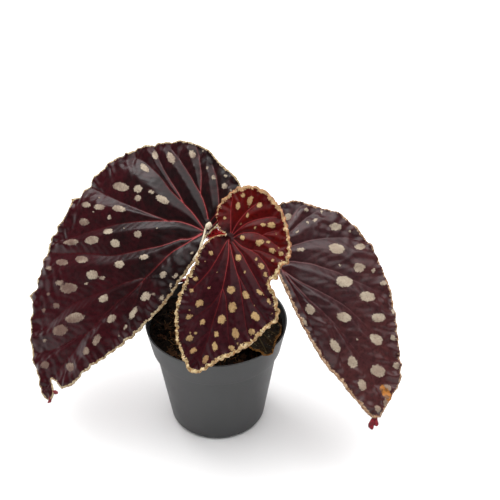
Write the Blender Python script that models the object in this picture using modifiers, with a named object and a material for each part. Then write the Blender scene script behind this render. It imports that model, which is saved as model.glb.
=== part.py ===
"""A potted begonia: three wing-shaped leaves on red stalks, and a withered leaf on the soil.

Metres, +Z up. The origin is the centre of the pot's flat base, and the viewer's side is -Y.
A leaf is drawn in its own flat frame first, around the foot where its stalk meets it. There u
runs from the foot towards the tip and w runs to the leaf's left as seen from above with the tip
ahead, bearings are degrees from u towards w, and the height over that plane gives the arch, the
pleats between the veins and the ruffled margin.
"""
import math
from dataclasses import dataclass, field

import bmesh
import bpy
import numpy as np
from mathutils import Matrix, Vector, kdtree, noise
from mathutils.geometry import delaunay_2d_cdt

MM = 0.001

# Clear space between pieces that touch
GAP = 0.3 * MM

# The pot, a 12 cm nursery pot
POT_HEIGHT = 102 * MM
RIM_RADIUS = 60 * MM
BAND_HEIGHT = 24 * MM
BAND_FOOT_RADIUS = 55.2 * MM
BODY_TOP_RADIUS = 52.4 * MM
BASE_RADIUS = 41.2 * MM
BASE_FLAT_RADIUS = 38.5 * MM
BASE_CHAMFER = 3.4 * MM
WALL = 1.5 * MM
EDGE_ROUND = 0.8 * MM
TURN_STEPS = 72

# Drain slots through the bottom corner of the pot
SLOT_COUNT = 8
SLOT_WIDTH = 8 * MM
SLOT_HEIGHT = 3.6 * MM
SLOT_DEPTH = 8 * MM
SLOT_FIRST_BEARING = -22.5

# The soil
SOIL_TOP = 93 * MM
SOIL_BUMP = 1.6 * MM
SOIL_BUMP_SIZE = 14 * MM
SOIL_RINGS = 9
SOIL_STEPS = 48

# The rhizome, which stands in a hole in the soil
RHIZOME_CENTRE = (8 * MM, 4 * MM)
RHIZOME_RADIUS = 10 * MM
RHIZOME_TOP = 107 * MM
RHIZOME_SUNK = 30 * MM
RHIZOME_KNOBS = 2
RHIZOME_KNOB_HEIGHT = 4.4 * MM
RHIZOME_STEPS = 24
SOCKET_DEPTH = 10 * MM
SOCKET_RING = 5.6 * MM

# Stalks
STALK_FOOT_RADIUS = 2.4 * MM
STALK_TOP_RADIUS = 1.6 * MM
STALK_POINT_STEP = 6 * MM
STALK_UPRIGHT = 5 * MM

# Blades
BLADE_THICKNESS = 0.8 * MM
FOLD_SOFTNESS = 8 * MM
PLEAT_REACH = 9 * MM
RUFFLE_REACH = 5 * MM
VEIN_START = 6 * MM


@dataclass
class Blade:
    """One leaf blade. Lengths in the lists are millimetres, and bearings are degrees."""
    name: str
    colour: tuple
    foot: tuple                 # where the stalk meets the blade, in mm
    heading: float              # compass bearing of the tip, from +X towards +Y
    dip: float                  # how steeply the tip points down
    roll: float                 # turn about the line to the tip
    outline: list               # (bearing, reach) round the margin
    veins: list                 # (bearing at the foot, bearing at the end, reach, fork share)
    bend: float = 1.0           # curvature along u, per metre
    cup: float = 1.0            # curvature along w, per metre
    back_drop: float = 1.5      # extra curvature behind the foot, per metre
    crown: float = 0.35         # slope of the funnel round the foot
    crown_reach: float = 50.0
    fold: float = 0.0           # slope of the narrow half below the midrib
    fold_side: int = 1
    pleat: float = 3.0          # height of the lamina between the veins
    ruffle: float = 0.8         # waves of the margin: height and length
    ruffle_length: float = 10.0
    stalk_aim: tuple = (0.8, 0, 0.5)    # which way the end of the stalk points, in the frame
    mesh_step: float = 6.5
    margin_step: float = 3.6
    frame: Matrix = field(init=False)

    def __post_init__(self):
        heading, dip, roll = (math.radians(a) for a in (self.heading, self.dip, self.roll))
        ahead = Vector((math.cos(heading) * math.cos(dip), math.sin(heading) * math.cos(dip),
                        -math.sin(dip)))
        side = Vector((0, 0, 1)).cross(ahead).normalized()
        up = ahead.cross(side)
        side, up = (side * math.cos(roll) + up * math.sin(roll),
                    up * math.cos(roll) - side * math.sin(roll))
        self.frame = Matrix((ahead, side, up)).transposed()


LEFT = Blade(
    name="leaf_left", colour=(0.055, 0.012, 0.016), foot=(-5.0, 2.0, 191.2),
    heading=205, dip=36, roll=-20, cup=0.8, crown_reach=55, fold=0.75,
    stalk_aim=(0.255, -0.517, 0.817),
    outline=[(-255, 4.2), (-232, 4.6), (-222, 5.8), (-213, 7.8), (-204, 10.3), (-195, 15.5), (-186, 25),
             (-178, 37), (-170, 44.5), (-162, 48), (-154, 50), (-142, 55.5), (-136, 60.4),
             (-129, 69), (-118, 79), (-107, 88), (-86, 110), (-70, 125), (-61, 131), (-53, 142),
             (-43, 155), (-32, 168), (-22, 183), (-13, 193), (-7.8, 194.7), (-5.4, 199),
             (-1.6, 199), (-0.8, 194), (-1.6, 188.5), (-4.6, 185.5), (-2.6, 181.5), (0, 180.6),
             (1.6, 172), (2.3, 163), (3, 151), (9, 110), (16, 71), (23, 41), (30, 27), (38, 14),
             (52, 6), (80, 4.5)],
    veins=[(-190, -172, 38, 0), (-150, -140, 50, 0), (-120, -122, 69, 0), (-119, -103, 84, 0.33),
           (-90, -95, 93, 0), (-88, -77, 110, 0.28), (-59, -62, 124, 0), (-57, -46, 142, 0.22),
           (-14, -40, 153, 0), (-4, -27, 168, 0.33), (-6, -4, 181, 0), (-4, 5, 118, 0.45)])

FRONT = Blade(
    name="leaf_front", colour=(0.13, 0.012, 0.014), foot=(13.9, -26.0, 205.7),
    heading=256, dip=44, roll=8, crown=0.3, crown_reach=30, fold=0.35, fold_side=-1,
    back_drop=0.5, pleat=2.4, ruffle=1.3, ruffle_length=7.5, mesh_step=5.0, margin_step=2.5,
    outline=[(262, 3.6), (256, 6), (250, 9.5), (240, 12.4), (230.6, 15.3), (224, 19.5), (209, 26),
             (195, 31), (180, 37), (160, 42), (141, 44), (118, 45), (95, 48), (80, 51.7),
             (72, 52), (68, 49.5), (60, 50.6), (55.6, 51.5), (51, 49.3), (48.7, 52), (47.5, 57),
             (46, 63.5), (43.5, 67.8), (43.2, 71), (39.1, 76), (32, 78), (17, 87), (4, 96),
             (-3, 105), (-7, 108), (-12, 105), (-24, 87), (-35, 65), (-41, 48), (-46, 35.5),
             (-54.5, 30.2), (-61.6, 25), (-68, 20.3), (-76, 15.5), (-83, 9.4), (-89, 5.8)],
    veins=[(6, -7, 102, 0), (4, 8, 88, 0.34), (18, 22, 78, 0), (38, 41, 66, 0), (64, 59, 44, 0),
           (104, 84, 46, 0), (132, 118, 41, 0), (158, 149, 39, 0), (187, 182, 32, 0),
           (-6, -30, 68, 0), (4, -21, 82, 0.36)])

RIGHT = Blade(
    name="leaf_right", colour=(0.07, 0.015, 0.022), foot=(50.5, 0.0, 159.9),
    heading=313, dip=34, roll=18, crown_reach=45, fold=0.9, fold_side=-1,
    outline=[(215, 4.5), (185, 10), (165, 27), (150, 45), (132, 55), (118, 58), (105, 63),
             (92, 70), (71, 80), (57, 86), (47, 94), (38, 102), (29, 111), (21, 124), (14, 137),
             (8, 141), (3, 147), (-1, 152), (-3.5, 149), (-2.5, 137), (-5, 111), (-9, 84),
             (-13, 55), (-17, 34), (-22, 20), (-36, 9), (-70, 5), (-120, 4.5)],
    veins=[(4, 1, 140, 0), (2, -5, 104, 0.25), (18, 25, 110, 0), (56, 42, 93, 0),
           (100, 75, 74, 0), (124, 106, 59, 0), (150, 135, 48, 0)])

WITHERED = Blade(
    name="leaf_withered", colour=(0.045, 0.035, 0.012), foot=(29.0, -12.5, 109.5),
    heading=295, dip=9, roll=-4, bend=0.0, cup=2.0, back_drop=0.0, crown=0.0, pleat=2.2,
    ruffle=0.9, ruffle_length=9, mesh_step=3.6, margin_step=2.6,
    outline=[(185, 5), (140, 10), (105, 17), (70, 24), (45, 27), (23, 28.5), (7, 36), (-2, 40),
             (-9, 37), (-25, 31), (-50, 27), (-80, 21), (-120, 13), (-155, 7)],
    veins=[(-4, -3, 36, 0), (16, 14, 28, 0), (42, 36, 23, 0), (75, 66, 20, 0),
           (-24, -22, 27, 0), (-48, -44, 24, 0), (-80, -74, 18, 0)])

BLADES = (LEFT, FRONT, RIGHT, WITHERED)

# Stalk routes in mm, from above the rhizome to just before the end
STALK_SOCKETS = {"petiole_left": 92, "petiole_old": 164, "petiole_front": 236,
                 "petiole_withered": 308, "petiole_right": 20}
STALK_ROUTES = {
    "petiole_left": [(9, 14, 125), (12, 15, 152), (9.5, 11, 175.5)],
    "petiole_front": [(6, -5, 128), (11, -10, 170), (16, -14, 202)],
    "petiole_right": [(19, 8, 128), (33, 11, 150)],
    "petiole_withered": [(15, -3, 116), (21, -4, 109)],
    "petiole_old": [(0, 12, 118), (-4, 28, 117), (-15, 45, 109), (-31, 50.5, 104.6),
                    (-45, 44, 106)],
}

COLLECTION = bpy.data.collections.new("potted_begonia")
CUTTERS = bpy.data.collections.new("cutters")


def clear_scene():
    """Removes what the open file holds, and links the two collections."""
    for item in list(bpy.data.objects):
        bpy.data.objects.remove(item)
    for collection in (COLLECTION, CUTTERS):
        bpy.context.scene.collection.children.link(collection)


def finish_material(name, colour, roughness):
    material = bpy.data.materials.new(name)
    material.use_nodes = True
    shader = material.node_tree.nodes["Principled BSDF"]
    shader.inputs["Base Color"].default_value = (*colour, 1)
    shader.inputs["Roughness"].default_value = roughness
    shader.inputs["Metallic"].default_value = 0
    return material


def add_part(name, data, colour, roughness):
    item = bpy.data.objects.new(name, data)
    data.materials.append(finish_material(name, colour, roughness))
    COLLECTION.objects.link(item)
    return item


def make_cutter(name, mesh):
    item = bpy.data.objects.new(name, mesh)
    item.hide_render = True
    item.display_type = "WIRE"
    CUTTERS.objects.link(item)
    return item


def cut_with(item, cutters):
    for cutter in cutters:
        cut = item.modifiers.new(cutter.name, "BOOLEAN")
        cut.operation = "DIFFERENCE"
        cut.object = cutter


def cylinder_mesh(name, radius, low, high, centre, sides=24):
    """An upright closed cylinder, as a mesh."""
    mesh = bpy.data.meshes.new(name)
    shape = bmesh.new()
    middle = Vector((*centre, (low + high) / 2))
    bmesh.ops.create_cone(shape, cap_ends=True, segments=sides, radius1=radius, radius2=radius,
                          depth=high - low, matrix=Matrix.Translation(middle))
    shape.to_mesh(mesh)
    shape.free()
    return mesh


def turned_mesh(name, profile, steps):
    """Turns an open profile, listed from top to bottom as (radius, height), about +Z."""
    line = bpy.data.meshes.new(name + "_profile")
    line.from_pydata([(r, 0, z) for r, z in profile],
                     [(i, i + 1) for i in range(len(profile) - 1)], [])
    item = bpy.data.objects.new(name + "_profile", line)
    bpy.context.scene.collection.objects.link(item)
    screw = item.modifiers.new("turn", "SCREW")
    screw.steps = screw.render_steps = steps
    screw.use_merge_vertices = True
    screw.merge_threshold = 0.00005
    mesh = bpy.data.meshes.new_from_object(item.evaluated_get(bpy.context.evaluated_depsgraph_get()))
    mesh.name = name
    bpy.data.objects.remove(item)
    return mesh


def wall_radius(height):
    """Outer radius of the pot's wall at a height."""
    band_foot = POT_HEIGHT - BAND_HEIGHT
    if height > band_foot:
        share = (height - band_foot) / BAND_HEIGHT
        return BAND_FOOT_RADIUS + (RIM_RADIUS - BAND_FOOT_RADIUS) * share
    share = (height - BASE_CHAMFER) / (band_foot - BASE_CHAMFER)
    return BASE_RADIUS + (BODY_TOP_RADIUS - BASE_RADIUS) * share


def make_pot():
    """A turned wall with a taller band at the rim, and drain slots at the bottom corner."""
    band_foot = POT_HEIGHT - BAND_HEIGHT
    profile = [
        (RIM_RADIUS - EDGE_ROUND * 0.4, POT_HEIGHT),
        (RIM_RADIUS, POT_HEIGHT - EDGE_ROUND),
        (BAND_FOOT_RADIUS, band_foot),
        (BAND_FOOT_RADIUS - EDGE_ROUND, band_foot - EDGE_ROUND),
        (BODY_TOP_RADIUS, band_foot - 2 * EDGE_ROUND),
        (wall_radius(band_foot / 2), band_foot / 2),
        (BASE_RADIUS, BASE_CHAMFER),
        (BASE_FLAT_RADIUS, 0),
        (BASE_FLAT_RADIUS / 2, 0),
        (0, 0),
    ]
    mesh = turned_mesh("pot", profile, TURN_STEPS)
    pot = add_part("pot", mesh, (0.035, 0.037, 0.04), 0.5)
    shell = pot.modifiers.new("wall", "SOLIDIFY")
    shell.thickness = WALL
    shell.offset = -1
    slots = []
    for i in range(SLOT_COUNT):
        bearing = math.radians(SLOT_FIRST_BEARING + 360 / SLOT_COUNT * i)
        block = bpy.data.meshes.new("slot")
        shape = bmesh.new()
        size = Vector((SLOT_DEPTH, SLOT_WIDTH, 2 * SLOT_HEIGHT))
        bmesh.ops.create_cube(shape, size=1, matrix=Matrix.Diagonal((*size, 1)))
        turn = Matrix.Rotation(bearing, 4, "Z") @ Matrix.Translation((BASE_RADIUS, 0, 0))
        shape.transform(turn)
        shape.to_mesh(block)
        shape.free()
        slots.append(make_cutter("slot_%d" % i, block))
    cut_with(pot, slots)
    mesh.shade_smooth()
    mesh.set_sharp_from_angle(angle=math.radians(30))


def soil_height(x, y):
    """Height of the bumpy soil at a place: broad bumps with smaller ones on them."""
    spot = Vector((x, y, 0)) / SOIL_BUMP_SIZE
    return SOIL_TOP + SOIL_BUMP * (noise.noise(spot) + 0.5 * noise.noise(spot * 2.3))


def make_soil():
    """The soil fills the pot, a gap away from its wall and its floor."""
    clearance = WALL + GAP
    top_radius = wall_radius(SOIL_TOP) - clearance
    profile = [(top_radius * i / SOIL_RINGS, SOIL_TOP) for i in range(SOIL_RINGS + 1)]
    band_foot = POT_HEIGHT - BAND_HEIGHT
    above_step = band_foot + 3 * EDGE_ROUND
    profile += [
        (wall_radius(above_step) - clearance - EDGE_ROUND / 2, above_step),
        (BODY_TOP_RADIUS - clearance - EDGE_ROUND / 2, band_foot - 2 * EDGE_ROUND),
        (BASE_RADIUS - clearance - EDGE_ROUND / 2, BASE_CHAMFER + clearance),
        (BASE_FLAT_RADIUS - clearance, clearance),
        (0, clearance),
    ]
    mesh = turned_mesh("soil", profile, SOIL_STEPS)
    for vertex in mesh.vertices:
        x, y, z = vertex.co
        if z > SOIL_TOP - GAP:
            vertex.co.z = soil_height(x, y)
    soil = add_part("soil", mesh, (0.02, 0.012, 0.008), 0.95)
    hole = cylinder_mesh("rhizome_hole", RHIZOME_RADIUS + GAP,
                         RHIZOME_TOP - RHIZOME_SUNK - GAP, POT_HEIGHT, RHIZOME_CENTRE)
    cut_with(soil, [make_cutter("rhizome_hole", hole)])
    mesh.shade_smooth()
    mesh.set_sharp_from_angle(angle=math.radians(40))


def socket_place(name):
    bearing = math.radians(STALK_SOCKETS[name])
    return (RHIZOME_CENTRE[0] + SOCKET_RING * math.cos(bearing),
            RHIZOME_CENTRE[1] + SOCKET_RING * math.sin(bearing))


def make_rhizome():
    """A short knobbly stem, with a ring round it for each stalk it has shed."""
    bottom = RHIZOME_TOP - RHIZOME_SUNK
    profile = [(0, RHIZOME_TOP), (RHIZOME_RADIUS * 0.86, RHIZOME_TOP),
               (RHIZOME_RADIUS * 0.97, RHIZOME_TOP - 1.4 * MM)]
    for ring in range(1, RHIZOME_KNOBS + 1):
        height = RHIZOME_TOP - ring * RHIZOME_KNOB_HEIGHT
        profile.append((RHIZOME_RADIUS * 0.9, height + RHIZOME_KNOB_HEIGHT * 0.35))
        profile.append((RHIZOME_RADIUS * 1.02, height))
    profile += [(RHIZOME_RADIUS, SOIL_TOP), (RHIZOME_RADIUS, bottom), (0, bottom)]
    mesh = turned_mesh("rhizome", profile, RHIZOME_STEPS)
    mesh.transform(Matrix.Translation((*RHIZOME_CENTRE, 0)))
    rhizome = add_part("rhizome", mesh, (0.12, 0.03, 0.02), 0.8)
    mesh.shade_smooth()
    sockets = []
    for name in STALK_SOCKETS:
        hole = cylinder_mesh("socket", STALK_FOOT_RADIUS + GAP, RHIZOME_TOP - SOCKET_DEPTH,
                             POT_HEIGHT + SOCKET_DEPTH, socket_place(name), 16)
        sockets.append(make_cutter("socket_" + name, hole))
    cut_with(rhizome, sockets)


def smooth_line(points, step, closed=False):
    """Points at even steps along a Catmull-Rom curve through the given points."""
    points = np.array(points, float)
    if closed:
        padded = np.vstack([points[-1], points, points[:2]])
    else:
        padded = np.vstack([2 * points[0] - points[1], points, 2 * points[-1] - points[-2]])
    fine = []
    for a, b, c, d in zip(padded, padded[1:], padded[2:], padded[3:]):
        for t in np.arange(0, 1, 0.05):
            fine.append(b + 0.5 * t * (c - a + t * (2 * a - 5 * b + 4 * c - d
                                                    + t * (3 * (b - c) + d - a))))
    fine.append(padded[-2])
    fine = np.array(fine)
    run = np.concatenate([[0], np.cumsum(np.linalg.norm(np.diff(fine, axis=0), axis=1))])
    count = max(2, round(run[-1] / step))
    stations = np.linspace(0, run[-1], count + 1)
    even = np.stack([np.interp(stations, run, fine[:, i]) for i in range(fine.shape[1])], 1)
    return even[:-1] if closed else even


def polar_points(pairs):
    """(bearing, reach in mm) pairs as points (u, w) in metres."""
    return [(reach * MM * math.cos(math.radians(bearing)),
             reach * MM * math.sin(math.radians(bearing))) for bearing, reach in pairs]


def vein_line(vein, step):
    """Points along one vein. A branch leaves its parent at its fork share of the reach."""
    start, end, reach, fork = vein
    reach *= MM
    shares = np.linspace(max(fork, VEIN_START / reach), 1, max(2, round(reach * (1 - fork) / step)))
    bearings = np.radians(start + (end - start) * np.clip((shares - fork) / (1 - fork), 0, 1))
    return np.stack([shares * reach * np.cos(bearings), shares * reach * np.sin(bearings)], 1)


def nearest(points, targets):
    """For each point, the index of its nearest target and the distance to it."""
    tree = kdtree.KDTree(len(targets))
    for i, target in enumerate(targets):
        tree.insert((*target, 0), i)
    tree.balance()
    found = [tree.find((*point, 0)) for point in points]
    return np.array([item[1] for item in found]), np.array([item[2] for item in found])


def blade_height(blade, points):
    """Height of the blade over its plane: arch, fold, pleats and ruffles."""
    u, w = points[:, 0], points[:, 1]
    reach = np.hypot(u, w)
    narrow = np.maximum(blade.fold_side * w, 0)
    height = blade.crown * reach * np.exp(-reach / (blade.crown_reach * MM))
    height -= blade.bend * np.maximum(u, 0) ** 2 + blade.cup * w ** 2
    height -= blade.back_drop * np.maximum(-u, 0) ** 2
    height -= blade.fold * (np.hypot(narrow, FOLD_SOFTNESS) - FOLD_SOFTNESS)
    veins = np.vstack([vein_line(vein, MM) for vein in blade.veins])
    _, to_vein = nearest(points, veins)
    height += blade.pleat * MM * (1 - np.exp(-to_vein / PLEAT_REACH)) * np.tanh(reach / PLEAT_REACH)
    margin = smooth_line(polar_points(blade.outline), 0.5 * MM, closed=True)
    station, to_margin = nearest(points, margin)
    wave = np.sin(2 * math.pi * station * 0.5 / blade.ruffle_length)
    away = np.clip(reach / (4 * PLEAT_REACH), 0, 1)
    return height + blade.ruffle * MM * wave * away * np.exp(-to_margin / RUFFLE_REACH)


def blade_places(blade, points):
    """World places of points of the blade's plane, raised to its height."""
    local = np.column_stack([points, blade_height(blade, points)])
    return local @ np.array(blade.frame).T + np.array(blade.foot) * MM


def blade_net(blade):
    """Points and triangles that follow the margin and the veins, with even ones between."""
    step = blade.mesh_step * MM
    margin = smooth_line(polar_points(blade.outline), blade.margin_step * MM, closed=True)
    lines = [vein_line(vein, step) for vein in blade.veins]
    fixed = np.vstack([margin, *lines, [(0, 0)]])
    low, high = margin.min(0), margin.max(0)
    grid = []
    for row, w in enumerate(np.arange(low[1], high[1], step * math.sqrt(0.75))):
        grid += [(u + row % 2 * step / 2, w) for u in np.arange(low[0], high[0], step)]
    grid = np.array(grid)
    _, spare = nearest(grid, fixed)
    grid = grid[spare > 0.62 * step]
    edges = [(i, (i + 1) % len(margin)) for i in range(len(margin))]
    first = len(margin)
    for line in lines:
        edges += [(first + i, first + i + 1) for i in range(len(line) - 1)]
        first += len(line)
    points = [Vector(point) for point in np.vstack([fixed, grid])]
    loop = list(range(len(margin)))
    net = delaunay_2d_cdt(points, edges, [loop], 1, 1e-7)
    return np.array([tuple(point) for point in net[0]]), net[2]


def make_blade(blade):
    """The blade's sheet with its upper side up, given its thickness."""
    points, triangles = blade_net(blade)
    mesh = bpy.data.meshes.new(blade.name)
    mesh.from_pydata(blade_places(blade, points).tolist(), [], triangles)
    shape = bmesh.new()
    shape.from_mesh(mesh)
    loose = [vertex for vertex in shape.verts if not vertex.link_faces]
    bmesh.ops.delete(shape, geom=loose, context="VERTS")
    bmesh.ops.recalc_face_normals(shape, faces=shape.faces)
    if shape.faces[0].normal.dot(blade.frame.col[2]) < 0:
        bmesh.ops.reverse_faces(shape, faces=shape.faces)
    shape.to_mesh(mesh)
    shape.free()
    leaf = add_part(blade.name, mesh, blade.colour, 0.45)
    shell = leaf.modifiers.new("thickness", "SOLIDIFY")
    shell.thickness = BLADE_THICKNESS
    shell.offset = 0
    mesh.shade_smooth()
    mesh.set_sharp_from_angle(angle=math.radians(60))


def stalk_end(blade):
    """The last two points of the stalk that carries a blade, just under its foot."""
    up = blade.frame.col[2]
    along = (blade.frame @ Vector(blade.stalk_aim)).normalized()
    lean = math.sqrt(1 - along.dot(up) ** 2)
    below = BLADE_THICKNESS / 2 + GAP + STALK_TOP_RADIUS * lean
    end = Vector(blade.foot) * MM - up * below
    return [end - along * STALK_POINT_STEP, end]


def make_stalk(name, blade=None):
    """A stalk that stands in its socket in the rhizome and carries a blade, or none."""
    x, y = socket_place(name)
    route = [Vector((x, y, RHIZOME_TOP - SOCKET_DEPTH + GAP)),
             Vector((x, y, RHIZOME_TOP + STALK_UPRIGHT))]
    route += [Vector(point) * MM for point in STALK_ROUTES[name]]
    if blade:
        route += stalk_end(blade)
    points = smooth_line(route, STALK_POINT_STEP)
    line = bpy.data.curves.new(name, "CURVE")
    line.dimensions = "3D"
    line.bevel_depth = 1
    line.bevel_resolution = 2
    line.use_fill_caps = True
    spline = line.splines.new("POLY")
    spline.points.add(len(points) - 1)
    for i, (spot, place) in enumerate(zip(spline.points, points)):
        spot.co = (*place, 1)
        share = i / (len(points) - 1)
        spot.radius = STALK_FOOT_RADIUS + (STALK_TOP_RADIUS - STALK_FOOT_RADIUS) * share
    add_part(name, line, (0.35, 0.02, 0.03), 0.6)


def main():
    clear_scene()
    make_pot()
    make_soil()
    make_rhizome()
    for blade in BLADES:
        make_blade(blade)
    make_stalk("petiole_left", LEFT)
    make_stalk("petiole_front", FRONT)
    make_stalk("petiole_right", RIGHT)
    make_stalk("petiole_withered", WITHERED)
    make_stalk("petiole_old")


main()
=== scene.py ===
"""Looks of a potted begonia, laid out as an add-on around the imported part.

Metres, +Z up. The origin is the centre of the pot's flat base, and the viewer's side is -Y. Each
leaf has a flat frame of its own round the foot where its stalk meets it: u runs from the foot
towards the tip, w to the leaf's left, and bearings are degrees from u towards w. The height over
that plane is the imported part's, with finer veins, puckers and teeth added.
"""

import math
from dataclasses import dataclass, field
from functools import cache, reduce

import bpy
import numpy as np
from bpy.props import FloatProperty, FloatVectorProperty, IntProperty, PointerProperty
from mathutils import Matrix, Vector, kdtree, noise
from mathutils.geometry import delaunay_2d_cdt


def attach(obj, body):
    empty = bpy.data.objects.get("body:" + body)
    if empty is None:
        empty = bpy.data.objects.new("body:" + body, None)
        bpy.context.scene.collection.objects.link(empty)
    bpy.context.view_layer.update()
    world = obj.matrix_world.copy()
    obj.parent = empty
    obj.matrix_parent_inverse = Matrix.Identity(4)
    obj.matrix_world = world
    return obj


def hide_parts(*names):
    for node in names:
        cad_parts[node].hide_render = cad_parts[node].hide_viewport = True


bl_info = {
    "name": "Potted begonia",
    "version": (1, 0, 0),
    "blender": (4, 5, 0),
    "location": "3D View > Sidebar > Begonia",
    "description": "Spotted begonia leaves on hairy stalks, in a nursery pot of peat",
    "category": "Add Mesh",
}

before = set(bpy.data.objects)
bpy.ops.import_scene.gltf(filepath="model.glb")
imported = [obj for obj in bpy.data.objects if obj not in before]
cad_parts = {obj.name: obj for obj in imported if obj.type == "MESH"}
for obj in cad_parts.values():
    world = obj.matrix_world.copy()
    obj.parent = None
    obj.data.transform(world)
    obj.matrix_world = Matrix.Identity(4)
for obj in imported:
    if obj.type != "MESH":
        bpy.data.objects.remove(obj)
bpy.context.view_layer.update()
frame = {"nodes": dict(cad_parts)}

MM = 0.001
BODY = "root"

# The camera, fitted to the photograph: place, pitch below level, and focal length in pixels
CAMERA_PLACE = np.array((28.5, -720.0, 691.5)) * MM
CAMERA_PITCH = math.radians(35.71)
FOCAL_PIXELS = 1100
PICTURE_SIDE = 500
SENSOR_MM = 36

# Where the lights stand in metres, the height they aim at, and the upward share of a direction
# above which the sky brightens
KEY_PLACE = (-0.1, 0.9, 2.9)
BACK_PLACE = (-1.0, 1.1, 1.5)
AIM_HEIGHT = 0.12
SKY_START = 0.5

# Pot outline
BAND_HEIGHT = 24 * MM
BAND_FOOT_RADIUS = 55.2 * MM
BODY_TOP_RADIUS = 52.4 * MM
BASE_RADIUS = 41.2 * MM
BASE_FLAT_RADIUS = 38.5 * MM
BASE_CHAMFER = 3.4 * MM
SLOT_FIRST_BEARING = -22.5
SLOT_DEPTH = 8 * MM

# The soil and its broad bumps
SOIL_TOP = 93 * MM
SOIL_BUMP = 1.6 * MM
SOIL_BUMP_SIZE = 14 * MM
SOIL_FOOT = 3 * MM          # its underside, over the pot's floor
GAP = 0.3 * MM              # clearance between parts

# Loose lumps: their shortest and longest half lengths, and their half heights as shares of those
CRUMB_SIZES = (0.5 * MM, 1.7 * MM, (0.5, 0.9))
CHIP_SIZES = (1.2 * MM, 3.6 * MM, (0.15, 0.35))

# The rhizome and the ring of stalks on it
RHIZOME_CENTRE = (8 * MM, 4 * MM)
RHIZOME_RADIUS = 10 * MM
RHIZOME_TOP = 107 * MM
RHIZOME_SUNK = 30 * MM
RHIZOME_DOME = 3.2 * MM
SCAR_SPACING = 4.4 * MM
SOCKET_DEPTH = 10 * MM
SOCKET_RING = 5.6 * MM
STALK_UPRIGHT = 5 * MM
STALK_POINT_STEP = 6 * MM
STALK_STEP = 1.2            # millimetres between rings
BARE_FOOT = 6 * MM          # no hairs lower than this over the soil

# Leaf blades
BLADE_THICKNESS = 0.8 * MM
FOLD_SOFTNESS = 8 * MM
PLEAT_REACH = 9 * MM
RUFFLE_REACH = 5 * MM
VEIN_START = 6 * MM
VEIN_STEP = 0.25 * MM
PLEAT_SPAN = 13 * MM
CREST_SHARPNESS = 7
CORNER_REACH = 6 * MM
HIDDEN_TRIES = 400          # for places of seeded spots, their reaches in mm and clearance
HIDDEN_REACHES = (14, 50)
HIDDEN_GAP = 7 * MM
SIDE_VEIN_ANGLE = math.radians(54)
SIDE_VEIN_TURN = math.radians(1.6)      # at each millimetre
SIDE_VEIN_STEPS = 22
UNREAD_STRENGTH = 0.7
SPOT_REACH = 9 * MM
TOOTH_REACH = 25 * MM       # teeth are smaller nearer than this to the foot
CALM_REACH = 36 * MM        # and so are puckers and wrinkles
VEIN_FADE_REACH = 95 * MM   # main veins are thinnest from here on

# Details of a blade in millimetres: steps and waves along the margin, heights of the relief, and
# the dead patch, which is slimmer across the blade
RIM_STEP = 0.5
SCALLOP_LENGTH = 17
BEAD_LENGTH = 2.2
BLISTER = 0.12
UNEVENNESS = 0.16
GROOVE = 0.22
SIDE_RIB = 0.22
SCORCH_REACH = 8.6
SCORCH_SLIMNESS = 6.5

FULL_TURN = 6.28            # radians
CURVE_STEP = 0.05           # share of a curve between two given points


@dataclass(eq=False)
class Blade:
    """One leaf blade. Lengths in the lists are millimetres, and bearings are degrees."""
    name: str
    foot: tuple                 # where the stalk meets the blade, in mm
    heading: float              # compass bearing of the tip, from +X towards +Y
    dip: float                  # how steeply the tip points down
    roll: float                 # turn about the line to the tip
    outline: list               # (bearing, reach) round the margin
    veins: list                 # unread veins: (bearing at the foot, bearing at the end, reach)
    bend: float = 1.0           # curvature along u, per metre
    cup: float = 1.0            # curvature along w, per metre
    back_drop: float = 1.5      # extra curvature behind the foot, per metre
    crown: float = 0.35         # slope of the funnel round the foot
    crown_reach: float = 50.0
    fold: float = 0.0           # slope of the narrow half below the midrib
    fold_side: int = 1
    pleat: float = 3.0          # height of the lamina between the veins
    ruffle: float = 0.8         # waves of the margin: height and length
    ruffle_length: float = 10.0
    stalk_aim: tuple = (0.8, 0, 0.5)    # which way the end of the stalk points, in the frame
    net_step: float = 1.15      # the fine net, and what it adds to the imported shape
    tooth: float = 0.45
    tooth_length: float = 3.4
    hem: float = 0.15           # height and width of the swollen margin
    hem_width: float = 1.5
    quilt: float = 0.4
    wrinkle: float = 0.55
    wrinkle_length: float = 9.0
    wrinkle_bearing: float | None = None    # which way wrinkles run, or None for rings
    scallop: float = 1.0        # broad waves near the margin
    calm_side: int = 0          # the half where the wrinkles fade out
    side_vein_step: float = 8.0
    crest: float = 0.5          # where between two veins the lamina is highest
    spots: list = field(default_factory=list)
    marks: list = field(default_factory=list)
    corners: list = field(default_factory=list)
    hidden_spots: int = 0       # seeded spots where another leaf hides this one
    hidden_bearings: tuple = (0, 0)
    frame: Matrix = field(init=False)

    def __post_init__(self):
        heading, dip, roll = (math.radians(a) for a in (self.heading, self.dip, self.roll))
        ahead = Vector((math.cos(heading) * math.cos(dip), math.sin(heading) * math.cos(dip),
                        -math.sin(dip)))
        side = Vector((0, 0, 1)).cross(ahead).normalized()
        up = ahead.cross(side)
        side, up = (side * math.cos(roll) + up * math.sin(roll),
                    up * math.cos(roll) - side * math.sin(roll))
        self.frame = Matrix((ahead, side, up)).transposed()

    def places(self, local):
        """Points (u, w, height) of the blade as places of the scene."""
        return local @ np.array(self.frame).T + np.array(self.foot) * MM


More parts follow.
